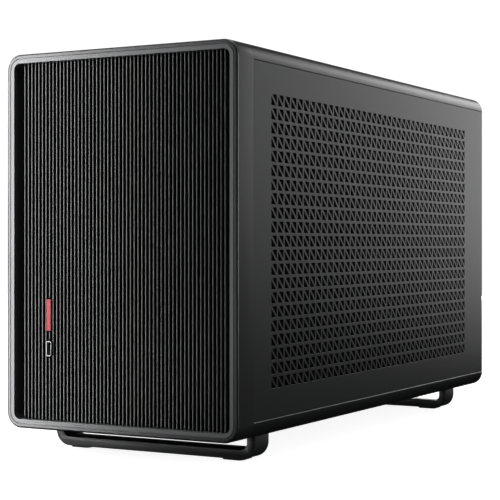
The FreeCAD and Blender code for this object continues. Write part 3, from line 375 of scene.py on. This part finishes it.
def nylon_net(colours):
    # Net woven on the bias: near black, with a faint raised weave. The threads are drawn several times as far
    # apart as in a real dust net, so that they show
    spacing, thread_height = 3.2, 0.2
    thread_share, gap_share = 0.25, 0.08
    material, tree, shader = new_material("nylon_net", {"Roughness": 0.9, "IOR": 1.15})
    place = add(tree, "ShaderNodeTexCoord").outputs["Object"]
    # The second set of threads is the first one turned upside down
    turned = add(tree, "ShaderNodeMapping", {"Vector": place, "Scale": (1, 1, -1)}).outputs["Vector"]
    # A diagonal wave turns by ten radians for each unit of x, y and z added up
    scale = 2 * math.pi / 10 / (spacing * MM)
    rising, falling = [
        add(tree, "ShaderNodeTexWave", {"Vector": vector, "Scale": scale},
            bands_direction="DIAGONAL", wave_profile="SIN").outputs["Fac"]
        for vector in (place, turned)
    ]
    weave = add(tree, "ShaderNodeMath", {0: rising, 1: falling}, operation="MAXIMUM").outputs["Value"]
    thread = tuple(channel * thread_share for channel in colours.plastic)
    gap = tuple(channel * gap_share for channel in colours.plastic)
    tone = add(tree, "ShaderNodeMix", {
        MIX_FACTOR: weave, MIX_FIRST: (*gap, 1), MIX_SECOND: (*thread, 1)}, data_type="RGBA")
    bump = add(tree, "ShaderNodeBump", {"Height": weave, "Strength": 0.5, "Distance": thread_height * MM})
    tree.links.new(tone.outputs[MIX_RESULT], shader.inputs["Base Color"])
    tree.links.new(bump.outputs["Normal"], shader.inputs["Normal"])
    return material


FINISHES = {
    "shell_paint": satin_powder_coat,
    "bezel_paint": satin_frame_coat,
    "ring_satin": satin_ring_coat,
    "grille_satin": satin_fin_coat,
    "inner_paint": matt_black_paint,
    "foot_metal": black_anodised_bar,
    "foot_rubber": moulded_rubber,
    "button_red": red_polycarbonate,
    "port_metal": nickel_plated_steel,
    "black_plastic": black_moulding,
    "filter_net": nylon_net,
    "circuit_board": solder_mask,
    "screw_steel": zinc_plated_steel,
    "standoff_brass": turned_brass,
}


def finish_of(slot):
    """The material of a record slot, made once."""
    made = bpy.context.scene.get("case_finishes", {})
    if slot not in made:
        material = FINISHES[slot](settings()[1])
        bpy.context.scene["case_finishes"] = {**dict(made), slot: material.name}
        return material
    return bpy.data.materials[made[slot]]


# Mesh tools

def place_piece(name, bm, body, slot, node, smooth=None):
    """Turn a bmesh into a finished piece that rides on a body and stands for its CAD node."""
    mesh = bpy.data.meshes.new(name)
    bm.to_mesh(mesh)
    bm.free()
    mesh.materials.append(finish_of(slot))
    if smooth is not None:
        mesh.polygons.foreach_set("use_smooth", [True] * len(mesh.polygons))
        mesh.set_sharp_from_angle(angle=smooth)
    piece = bpy.data.objects.new(name, mesh)
    bpy.context.scene.collection.objects.link(piece)
    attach(piece, body)
    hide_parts(node)


def middle_and_half(node):
    """The middle of a CAD node's box, and half its size."""
    low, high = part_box(node)
    return (low + high) / 2, (high - low) / 2


def soften(bm, edges, radius, segments):
    """Round some edges."""
    bmesh.ops.bevel(
        bm, geom=edges, offset=radius, offset_type="OFFSET", segments=segments, profile=0.5, affect="EDGES",
        material=-1, clamp_overlap=True)


def sharp_edges(bm):
    """Edges where two faces meet at a clear angle."""
    return [edge for edge in bm.edges if len(edge.link_faces) == 2 and edge.calc_face_angle(0) > SHARP_ANGLE]


def rim_edges(bm, height):
    """Sharp edges that lie at one height."""
    return [edge for edge in sharp_edges(bm) if all(abs(v.co.z - height) < NEAR for v in edge.verts)]


def lift(bm, grown, height):
    """Move the new points of an extrusion up."""
    bmesh.ops.translate(bm, vec=(0, 0, height), verts=[v for v in grown if isinstance(v, bmesh.types.BMVert)])
    bmesh.ops.recalc_face_normals(bm, faces=bm.faces[:])


def thicken(bm, depth):
    """Give flat faces a thickness along +Z, with a wall at every open edge."""
    lift(bm, bmesh.ops.extrude_face_region(bm, geom=bm.faces[:], use_keep_orig=True)["geom"], depth)


def turn_onto(bm, x_axis, y_axis, z_axis, origin):
    """Carry a shape from its flat plan to its place in the case."""
    matrix = Matrix.Translation(origin) @ Matrix((x_axis, y_axis, z_axis)).transposed().to_4x4()
    bmesh.ops.transform(bm, matrix=matrix, verts=bm.verts[:])
    if matrix.determinant() < 0:
        bmesh.ops.reverse_faces(bm, faces=bm.faces[:])


def turn_to_front(bm, center, back):
    """Stand a plan up in the front, with its underside at the back."""
    turn_onto(bm, (1, 0, 0), (0, 0, 1), (0, -1, 0), (center.x, back, center.z))


def join(bm, other):
    """Add another bmesh to this one and free it."""
    mesh = bpy.data.meshes.new("joined")
    other.to_mesh(mesh)
    other.free()
    bm.from_mesh(mesh)
    bpy.data.meshes.remove(mesh)


def cut(bm, point, normal, clear_outer=False):
    """Cut a flat sheet along a line, and take away what lies beyond it if asked."""
    bmesh.ops.bisect_plane(
        bm, geom=bm.verts[:] + bm.edges[:] + bm.faces[:], dist=CUT_SNAP, plane_co=point, plane_no=normal,
        clear_outer=clear_outer)


def vented_sheet(outer, shift, field, cells, bar, reach=None):
    """A flat sheet round a field of square cells, each punched with two triangles.

    The field is centred on the origin and the sheet's own centre is shifted from it. With a reach, only the
    triangles within that distance of the centre are punched.
    """
    bm = bmesh.new()
    bmesh.ops.create_grid(bm, x_segments=cells[0], y_segments=cells[1], size=0.5)
    bmesh.ops.scale(bm, vec=(*field, 1), verts=bm.verts[:])
    squares = bm.faces[:]
    rim = [edge for edge in bm.edges if edge.is_boundary]
    grown = bmesh.ops.extrude_edge_only(bm, edges=rim)["geom"]
    border = [item for item in grown if isinstance(item, bmesh.types.BMVert)]
    bmesh.ops.scale(bm, vec=(outer[0] / field[0], outer[1] / field[1], 1), verts=border)
    bmesh.ops.translate(bm, vec=(*shift, 0), verts=border)
    halves = bmesh.ops.triangulate(bm, faces=squares, quad_method="ALTERNATE", ngon_method="BEAUTY")["faces"]
    if reach is not None:
        halves = [face for face in halves if face.calc_center_median().length < reach]
    bmesh.ops.inset_individual(bm, faces=halves, thickness=bar / 2, use_even_offset=True)
    bmesh.ops.delete(bm, geom=halves, context="FACES")
    return bm


def round_corners(bm, outer, radius):
    """Trim the corners of a flat sheet about the origin to a round with straight cuts."""
    for side in (-1, 1):
        for end in (-1, 1):
            center = Vector((side * (outer[0] / 2 - radius), end * (outer[1] / 2 - radius), 0))
            for step in range(CORNER_CUTS):
                angle = math.pi / 2 * (step + 0.5) / CORNER_CUTS
                away = Vector((side * math.cos(angle), end * math.sin(angle), 0))
                cut(bm, center + radius * away, away, clear_outer=True)


def punch_round(bm, x, y, radius):
    """Punch a round hole in a plain part of a flat sheet."""
    margin = HOLE_CLEARANCE * radius
    for axis, center in ((Vector((1, 0, 0)), x), (Vector((0, 1, 0)), y)):
        for side in (-1, 1):
            cut(bm, (center + side * margin) * axis, axis)
    reach = margin + NEAR
    square = [
        face for face in bm.faces
        if all(abs(v.co.x - x) < reach and abs(v.co.y - y) < reach for v in face.verts)
    ]
    uses = {edge: sum(edge in face.edges for face in square) for face in square for edge in face.edges}
    outline = [edge for edge, count in uses.items() if count == 1]
    bmesh.ops.delete(bm, geom=square, context="FACES")
    around = bmesh.ops.create_circle(
        bm, segments=HOLE_SEGMENTS, radius=radius, matrix=Matrix.Translation((x, y, 0)))["verts"]
    circle = list({edge for vert in around for edge in vert.link_edges})
    bmesh.ops.bridge_loops(bm, edges=outline + circle)


def rounded_loop(bm, half, radius, segments=CORNER_SEGMENTS):
    """The outline of a round-cornered rectangle about the origin, as a closed loop of edges."""
    corners = bmesh.ops.create_grid(bm, x_segments=1, y_segments=1, size=0.5)["verts"]
    bmesh.ops.scale(bm, vec=(2 * half[0], 2 * half[1], 1), verts=corners)
    made = bmesh.ops.bevel(
        bm, geom=corners, offset=radius, offset_type="OFFSET", segments=segments, profile=0.5,
        affect="VERTICES", material=-1)
    face = made["verts"][0].link_faces[0]
    edges = face.edges[:]
    bmesh.ops.delete(bm, geom=[face], context="FACES_ONLY")
    return edges


def on_outline(vert, half, radius, slack):
    """Whether a point lies on the outline of a round-cornered rectangle, or less than the slack inside it."""
    across = max(abs(vert.co.x) - (half[0] - radius), 0)
    up = max(abs(vert.co.y) - (half[1] - radius), 0)
    return math.hypot(across, up) > radius - slack


def ring_plate(outer_half, outer_radius, inner_half, inner_radius, depth, segments=CORNER_SEGMENTS):
    """A flat round-cornered frame, thickened along +Z."""
    bm = bmesh.new()
    edges = rounded_loop(bm, outer_half, outer_radius, segments)
    edges += rounded_loop(bm, inner_half, inner_radius, segments)
    bmesh.ops.bridge_loops(bm, edges=edges)
    thicken(bm, depth)
    return bm


def lipped_ring(outer_half, outer_radius, inner_half, inner_radius, depth, lip, step):
    """A round-cornered frame, thickened along +Z, with a lower lip round its outside."""
    bm = bmesh.new()
    lip_half = (outer_half[0] + lip, outer_half[1] + lip)
    lip_radius = outer_radius + lip
    lip_loop = rounded_loop(bm, lip_half, lip_radius)
    outer_loop = rounded_loop(bm, outer_half, outer_radius)
    inner_loop = rounded_loop(bm, inner_half, inner_radius)
    bmesh.ops.bridge_loops(bm, edges=lip_loop + outer_loop)
    bmesh.ops.bridge_loops(bm, edges=outer_loop + inner_loop)
    low = depth - step
    thicken(bm, low)
    raised = [
        face for face in bm.faces
        if all(v.co.z > low - NEAR and not on_outline(v, lip_half, lip_radius, lip / 2) for v in face.verts)
    ]
    grown = bmesh.ops.extrude_face_region(bm, geom=raised)["geom"]
    bmesh.ops.delete(bm, geom=raised, context="FACES")
    lift(bm, grown, step)
    return bm


def merged_copy(node):
    """A copy of a CAD node's mesh with its loose triangles joined."""
    bm = bmesh.new()
    bm.from_mesh(frame["nodes"][node].data)
    bmesh.ops.remove_doubles(bm, verts=bm.verts[:], dist=MERGE_REACH)
    bmesh.ops.dissolve_limit(
        bm, angle_limit=FLAT_ANGLE, use_dissolve_boundaries=False, verts=bm.verts[:], edges=bm.edges[:],
        delimit={"NORMAL"})
    return bm


def rounded_copy(node, radius, segments):
    """A merged copy of a CAD node with its sharp edges rounded."""
    bm = merged_copy(node)
    soften(bm, sharp_edges(bm), radius, segments)
    return bm


# Pieces

def build_side_panel(name, node, body, side):
    """One side panel; its vents are centred on the case's depth, and its long edges reach into the seams."""
    sizes = settings()[0]
    center, half = middle_and_half(node)
    bm = vented_sheet(
        (2 * half.y, 2 * (half.z + sizes.seam_cover)), (center.y, 0), (sizes.vent_length, sizes.vent_height),
        (sizes.vent_columns, sizes.vent_rows), sizes.vent_bar)
    thicken(bm, 2 * half.x)
    soften(bm, rim_edges(bm, 2 * half.x), sizes.soft_edge, segments=1)
    turn_onto(bm, (0, 1, 0), (0, 0, 1), (side, 0, 0), (center.x - side * half.x, 0, center.z))
    place_piece(name, bm, body, "shell_paint", node)


class CASE_OT_side_panels(bpy.types.Operator):
    """Both side panels, with their fine triangular vents"""
    bl_idname = "case.side_panels"
    bl_label = "Side Panels"

    def execute(self, context):
        build_side_panel("right_vented_panel", "right_side_panel", "right_panel", 1)
        build_side_panel("left_vented_panel", "left_side_panel", "left_panel", -1)
        return {"FINISHED"}


def punch_fan_holes(bm, middle, spacing, radius):
    """Punch the four screw holes of a fan whose middle lies on the sheet's own middle line."""
    for side in (-1, 1):
        for end in (-1, 1):
            punch_round(bm, side * spacing / 2, middle + end * spacing / 2, radius)


class CASE_OT_top_vents(bpy.types.Operator):
    """Top vent panel with holes for the heads of the fan screws"""
    bl_idname = "case.top_vents"
    bl_label = "Top Vents"

    def execute(self, context):
        sizes = settings()[0]
        center, half = middle_and_half("top_vent_panel")
        outer = (2 * half.x, 2 * half.y)
        bm = vented_sheet(
            outer, (0, 0), (sizes.top_vent_width, sizes.top_vent_length), (sizes.top_columns, sizes.top_rows),
            sizes.vent_bar)
        round_corners(bm, outer, sizes.opening_corner)
        for fan in (-1, 0, 1):
            punch_fan_holes(bm, fan * sizes.fan_pitch, sizes.fan_screws, sizes.fan_head)
        thicken(bm, 2 * half.z)
        soften(bm, rim_edges(bm, 2 * half.z), sizes.soft_edge, segments=1)
        turn_onto(bm, (1, 0, 0), (0, 1, 0), (0, 0, 1), (center.x, center.y, center.z - half.z))
        place_piece("top_vented_panel", bm, "chassis", "shell_paint", "top_vent_panel")
        return {"FINISHED"}


class CASE_OT_rear_grille(bpy.types.Operator):
    """Vented plate behind the rear fan opening"""
    bl_idname = "case.rear_grille"
    bl_label = "Rear Fan Grille"

    def execute(self, context):
        sizes = settings()[0]
        center, half = middle_and_half("rear_fan_grille")
        outer = (2 * half.x, 2 * half.z)
        bm = vented_sheet(
            outer, (0, 0), (sizes.rear_vent, sizes.rear_vent), (sizes.rear_cells, sizes.rear_cells),
            sizes.vent_bar, sizes.rear_reach)
        round_corners(bm, outer, sizes.opening_corner)
        punch_fan_holes(bm, 0, sizes.fan_screws, sizes.fan_hole)
        thicken(bm, 2 * half.y)
        turn_onto(bm, (-1, 0, 0), (0, 0, 1), (0, 1, 0), (center.x, center.y - half.y, center.z))
        place_piece("rear_vented_grille", bm, "chassis", "inner_paint", "rear_fan_grille")
        return {"FINISHED"}


class CASE_OT_shells(bpy.types.Operator):
    """Top and base shells with smooth round edges"""
    bl_idname = "case.shells"
    bl_label = "Shells"

    def execute(self, context):
        for node in ("top_shell", "base_shell"):
            place_piece(f"{node}_sheet", merged_copy(node), "chassis", "shell_paint", node, SHEET_SHADING)
        return {"FINISHED"}


class CASE_OT_front_frame(bpy.types.Operator):
    """Round-edged front frame with the ledge that carries the fins"""
    bl_idname = "case.front_frame"
    bl_label = "Front Frame"

    def execute(self, context):
        sizes = settings()[0]
        center, half = middle_and_half("front_bezel")
        grille_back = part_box("front_grille")[1].y
        # The frame's back edge reaches into the seam behind it
        back = center.y + half.y + sizes.seam_cover
        depth = 2 * half.y + sizes.seam_cover
        corner, wall = sizes.case_corner, sizes.frame_wall
        outer = (half.x, half.z)
        inner = (half.x - wall, half.z - wall)
        bm = ring_plate(outer, corner, inner, corner - wall, depth)
        front_edge = [
            edge for edge in rim_edges(bm, depth)
            if all(on_outline(vert, outer, corner, wall / 2) for vert in edge.verts)
        ]
        soften(bm, front_edge, sizes.frame_round, segments=5)
        ledge = ring_plate(
            inner, corner - wall, (inner[0] - sizes.ledge_width, inner[1] - sizes.ledge_width),
            sizes.opening_corner, sizes.ledge_depth)
        ledge_height = back - grille_back - sizes.ledge_depth
        bmesh.ops.translate(ledge, vec=(0, 0, ledge_height), verts=ledge.verts[:])
        join(bm, ledge)
        turn_to_front(bm, center, back)
        place_piece("round_edged_frame", bm, "front_panel", "bezel_paint", "front_bezel", ROUND_SHADING)
        return {"FINISHED"}


def ring_opening(sizes, half):
    """Half size of the opening inside the ring."""
    return half.x - sizes.ring_width, half.z - sizes.ring_width


class CASE_OT_flush_ring(bpy.types.Operator):
    """Ring inside the front frame, with a shallow groove between them"""
    bl_idname = "case.flush_ring"
    bl_label = "Flush Ring"

    def execute(self, context):
        sizes = settings()[0]
        center, half = middle_and_half("grille_ring")
        corner = sizes.case_corner - sizes.frame_wall - sizes.ring_groove
        bm = lipped_ring(
            (half.x, half.z), corner, ring_opening(sizes, half), sizes.opening_corner, 2 * half.y,
            sizes.ring_lip, sizes.groove_depth)
        turn_to_front(bm, center, center.y + half.y)
        place_piece("flush_ring", bm, "front_panel", "ring_satin", "grille_ring", ROUND_SHADING)
        return {"FINISHED"}


def upright_fin(bm, x, low, high, front, sizes):
    """One fin with rounded front edges; x is across, y up and z forward from the fin's back."""
    made = bmesh.ops.create_cube(bm, size=1)["verts"]
    bmesh.ops.scale(bm, vec=(sizes.fin_width, high - low, front), verts=made)
    bmesh.ops.translate(bm, vec=(x, (low + high) / 2, front / 2), verts=made)
    nose = [
        edge for edge in {edge for vert in made for edge in vert.link_edges}
        if all(vert.co.z > front - NEAR for vert in edge.verts)
        and abs(edge.verts[0].co.x - edge.verts[1].co.x) < NEAR
    ]
    soften(bm, nose, sizes.fin_round, segments=3)


def control_gaps(sizes, middle):
    """Heights from the grille's middle between which a fin makes way for the port and the button."""
    levels = []
    for node in ("usb_c_collar", "power_button"):
        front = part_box(node)[0].y
        # Both have a rim behind the fins, so only the points of the front face count
        face = [v.co.z - middle for v in frame["nodes"][node].data.vertices if v.co.y < front + FACE_DEPTH]
        levels += [min(face) - sizes.control_gap, max(face) + sizes.control_gap]
    return levels


class CASE_OT_front_fins(bpy.types.Operator):
    """Upright fins of the front, on their back frame and ties"""
    bl_idname = "case.front_fins"
    bl_label = "Front Fins"

    def execute(self, context):
        sizes = settings()[0]
        center, half = middle_and_half("grille_ring")
        inner = ring_opening(sizes, half)
        front = 2 * half.y - sizes.fin_recess
        control = middle_and_half("power_button")[0].x - center.x
        bm = bmesh.new()
        first = -(sizes.fin_count - 1) * sizes.fin_pitch / 2
        for place in range(sizes.fin_count):
            x = first + place * sizes.fin_pitch
            stops = [-inner[1], inner[1]]
            if abs(x - control) < sizes.fin_pitch / 2:
                stops = sorted(stops + control_gaps(sizes, center.z))
            for low, high in zip(stops[::2], stops[1::2]):
                upright_fin(bm, x, low, high, front, sizes)
        seat = sizes.ledge_width - sizes.ring_groove - sizes.ring_width
        seat_inner = (inner[0] - seat, inner[1] - seat)
        join(bm, ring_plate(
            inner, sizes.opening_corner, seat_inner, sizes.fin_round, sizes.tie_depth, SEAT_SEGMENTS))
        tie_width = 2 * (seat_inner[0] + sizes.tie_lap)
        for step in (-1, 0, 1):
            tie = bmesh.ops.create_cube(bm, size=1)["verts"]
            bmesh.ops.scale(bm, vec=(tie_width, sizes.tie_height, sizes.tie_depth), verts=tie)
            bmesh.ops.translate(bm, vec=(0, step * sizes.tie_spacing, sizes.tie_depth / 2), verts=tie)
        turn_to_front(bm, center, center.y + half.y)
        place_piece("finned_grille", bm, "front_panel", "grille_satin", "front_grille", ROUND_SHADING)
        return {"FINISHED"}


class CASE_OT_front_controls(bpy.types.Operator):
    """Power button and the collar of the USB-C port"""
    bl_idname = "case.front_controls"
    bl_label = "Front Controls"

    def execute(self, context):
        sizes = settings()[0]
        button = rounded_copy("power_button", sizes.button_round, segments=3)
        place_piece("red_button", button, "power_button", "button_red", "power_button", ROUND_SHADING)
        collar = rounded_copy("usb_c_collar", sizes.collar_round, segments=2)
        place_piece("port_collar", collar, "front_panel", "port_metal", "usb_c_collar", ROUND_SHADING)
        return {"FINISHED"}


class CASE_OT_feet(bpy.types.Operator):
    """Bent foot bars with rounded edges, and their rubber pads"""
    bl_idname = "case.feet"
    bl_label = "Feet"

    def execute(self, context):
        sizes = settings()[0]
        for end in ("front", "rear"):
            node = f"{end}_foot_bar"
            bar = rounded_copy(node, sizes.bar_round, segments=2)
            place_piece(f"{end}_bent_bar", bar, "chassis", "foot_metal", node, ROUND_SHADING)
            for side in ("left", "right"):
                node = f"{end}_{side}_foot_pad"
                pad = rounded_copy(node, sizes.pad_round, segments=2)
                place_piece(f"{end}_{side}_pad", pad, "chassis", "foot_rubber", node, ROUND_SHADING)
        return {"FINISHED"}


class CASE_OT_carried_nodes(bpy.types.Operator):
    """Finishes of the CAD pieces that stay as they are"""
    bl_idname = "case.carried_nodes"
    bl_label = "Carried Pieces"

    def execute(self, context):
        for part in frame["record"]["subparts"]:
            node = frame["nodes"][part["node"]]
            # A node that a piece stands for is hidden
            if node.hide_render:
                continue
            node.data.materials.clear()
            node.data.materials.append(finish_of(part["material_slot"]))
        return {"FINISHED"}


# Stage

class Softbox(NamedTuple):
    """A soft light: where it stands, what it points at and its size, all in metres, and its watts."""
    name: str
    place: tuple
    target: tuple
    width: float
    height: float
    watts: float


SOFTBOXES = (
    # Narrow and wide lights at the front left draw the highlights of the fins, the ring and the frame
    Softbox("front_left_softbox", (-0.48, -0.68, 0.22), (-0.05, -0.244, 0.17), 0.1, 0.9, 5.0),
    Softbox("far_left_softbox", (-0.78, -1.02, 0.3), (0, -0.244, 0.17), 0.4, 0.9, 0.9),
    # A dim one lies on the floor and lights the front from below
    Softbox("floor_softbox", (-0.3, -0.92, 0.004), (-0.3, -0.92, 1), 1.0, 0.8, 1.3),
    # Those at the rear right give the right side its gleam towards the back, and its top edge a bright band
    Softbox("rear_softbox", (0.62, 2.5, 0.46), (0.1, 0, 0.2), 0.6, 0.75, 4.3),
    Softbox("low_rear_softbox", (0.3, 0.78, 0.07), (0.1, 0.2, 0.06), 0.2, 0.12, 0.04),
    Softbox("high_rear_softbox", (0.45, 2.6, 1.05), (0.1, 0, 0.2), 1.0, 0.6, 7.2),
    Softbox("top_rear_softbox", (0.52, 2.6, 1.56), (0.1, 0, 0.2), 1.3, 0.6, 2.8),
    # Two dim ones at the right lift the tone of that side
    Softbox("right_front_softbox", (1.0, -0.1, 0.35), (0.1, -0.24, 0.16), 0.6, 0.7, 1.3),
    Softbox("right_softbox", (1.6, 1.6, 0.6), (0.1, 0, 0.2), 0.8, 0.8, 1.3),
    # The left side and the back have their own lights, for views from there
    Softbox("left_softbox", (-2.1, 0.45, 0.7), (-0.1, 0, 0.15), 0.8, 0.8, 24),
    Softbox("back_softbox", (-0.6, 3.0, 0.35), (0, 0.244, 0.15), 0.9, 0.8, 45),
    # A thin strip just behind the front's plane draws the line down the frame's right edge
    Softbox("edge_softbox", (1.2, -0.21, 0.36), (0.1, -0.24, 0.2), 0.06, 0.7, 3.2),
    # A wide one high above lights the top
    Softbox("high_softbox", (0, 0.4, 3.0), (0, 0, 0.2), 1.2, 1.2, 24),
)


def hang_softbox(box):
    """Add one soft light, which the camera doesn't see."""
    lamp = bpy.data.lights.new(box.name, "AREA")
    lamp.shape = "RECTANGLE"
    lamp.size = box.width
    lamp.size_y = box.height
    lamp.energy = box.watts
    holder = bpy.data.objects.new(box.name, lamp)
    holder.location = box.place
    holder.rotation_euler = (Vector(box.target) - Vector(box.place)).to_track_quat("-Z", "Y").to_euler()
    holder.visible_camera = False
    bpy.context.scene.collection.objects.link(holder)


def hang_sky(stage):
    """Add the wide soft light from above."""
    lamp = bpy.data.lights.new("overhead_sky", "SUN")
    lamp.energy = stage.overhead
    lamp.angle = stage.overhead_spread
    bpy.context.scene.collection.objects.link(bpy.data.objects.new("overhead_sky", lamp))


def lay_floor(colours, stage):
    """Add the floor, which takes shadows but sends no light back, since the case stands free on white."""
    bm = bmesh.new()
    bmesh.ops.create_grid(bm, x_segments=1, y_segments=1, size=stage.floor_size / 2)
    mesh = bpy.data.meshes.new("studio_floor")
    bm.to_mesh(mesh)
    bm.free()
    mesh.materials.append(painted_floor(colours, stage.floor_glow))
    ground = bpy.data.objects.new("studio_floor", mesh)
    ground.visible_diffuse = False
    ground.visible_glossy = False
    bpy.context.scene.collection.objects.link(ground)


def hang_backdrop(stage):
    """Make the surround white to the camera and dim to the case."""
    world = bpy.data.worlds.new("studio_surround")
    bpy.context.scene.world = world
    world.use_nodes = True
    tree = world.node_tree
    backdrop = tree.nodes["Background"]
    backdrop.inputs["Color"].default_value = WHITE
    seen = add(tree, "ShaderNodeLightPath").outputs["Is Camera Ray"]
    strength = add(tree, "ShaderNodeMapRange", {
        "Value": seen, "To Min": stage.fill, "To Max": stage.backdrop})
    tree.links.new(strength.outputs["Result"], backdrop.inputs["Strength"])
    # The plain view transform leaves the backdrop pure white
    bpy.context.scene.view_settings.view_transform = "Standard"


def set_camera(stage):
    """Stand the level camera before the front, to the right of the case."""
    lens = bpy.data.cameras.new("camera")
    lens.lens = stage.lens
    lens.shift_y = stage.shift
    camera = bpy.data.objects.new("camera", lens)
    camera.location = stage.camera_place
    camera.rotation_euler = (math.pi / 2, 0, stage.camera_turn)
    bpy.context.scene.collection.objects.link(camera)
    bpy.context.scene.camera = camera


class CASE_OT_stage(bpy.types.Operator):
    """Pale studio floor, soft lights and the camera"""
    bl_idname = "case.stage"
    bl_label = "Stage"

    def execute(self, context):
        colours, stage = settings()[1:]
        lay_floor(colours, stage)
        hang_backdrop(stage)
        for box in SOFTBOXES:
            hang_softbox(box)
        hang_sky(stage)
        set_camera(stage)
        return {"FINISHED"}


OPERATORS = (
    CASE_OT_side_panels, CASE_OT_top_vents, CASE_OT_rear_grille, CASE_OT_shells, CASE_OT_front_frame,
    CASE_OT_flush_ring, CASE_OT_front_fins, CASE_OT_front_controls, CASE_OT_feet, CASE_OT_carried_nodes,
    CASE_OT_stage,
)


class CASE_PT_sidebar(bpy.types.Panel):
    """The case's sizes, colours, pieces and stage"""
    bl_idname = "CASE_PT_sidebar"
    bl_label = "Micro-ATX Case"
    bl_space_type = "VIEW_3D"
    bl_region_type = "UI"
    bl_category = "Case"

    def draw(self, context):
        scene = context.scene
        groups = (("Sizes", scene.case_sizes), ("Colours", scene.case_colours), ("Stage", scene.case_stage))
        for title, group in groups:
            column = self.layout.box().column()
            column.label(text=title)
            for name in group.__annotations__:
                column.prop(group, name)
        for operator in OPERATORS:
            self.layout.operator(operator.bl_idname)


CLASSES = (CaseSizes, CaseColours, CaseStage, *OPERATORS, CASE_PT_sidebar)


def register():
    for item in CLASSES:
        bpy.utils.register_class(item)
    bpy.types.Scene.case_sizes = PointerProperty(type=CaseSizes)
    bpy.types.Scene.case_colours = PointerProperty(type=CaseColours)
    bpy.types.Scene.case_stage = PointerProperty(type=CaseStage)


def unregister():
    del bpy.types.Scene.case_stage
    del bpy.types.Scene.case_colours
    del bpy.types.Scene.case_sizes
    for item in reversed(CLASSES):
        bpy.utils.unregister_class(item)


def main():
    register()
    for operator in OPERATORS:
        family, name = operator.bl_idname.split(".")
        getattr(getattr(bpy.ops, family), name)()


if __name__ == "__main__":
    main()
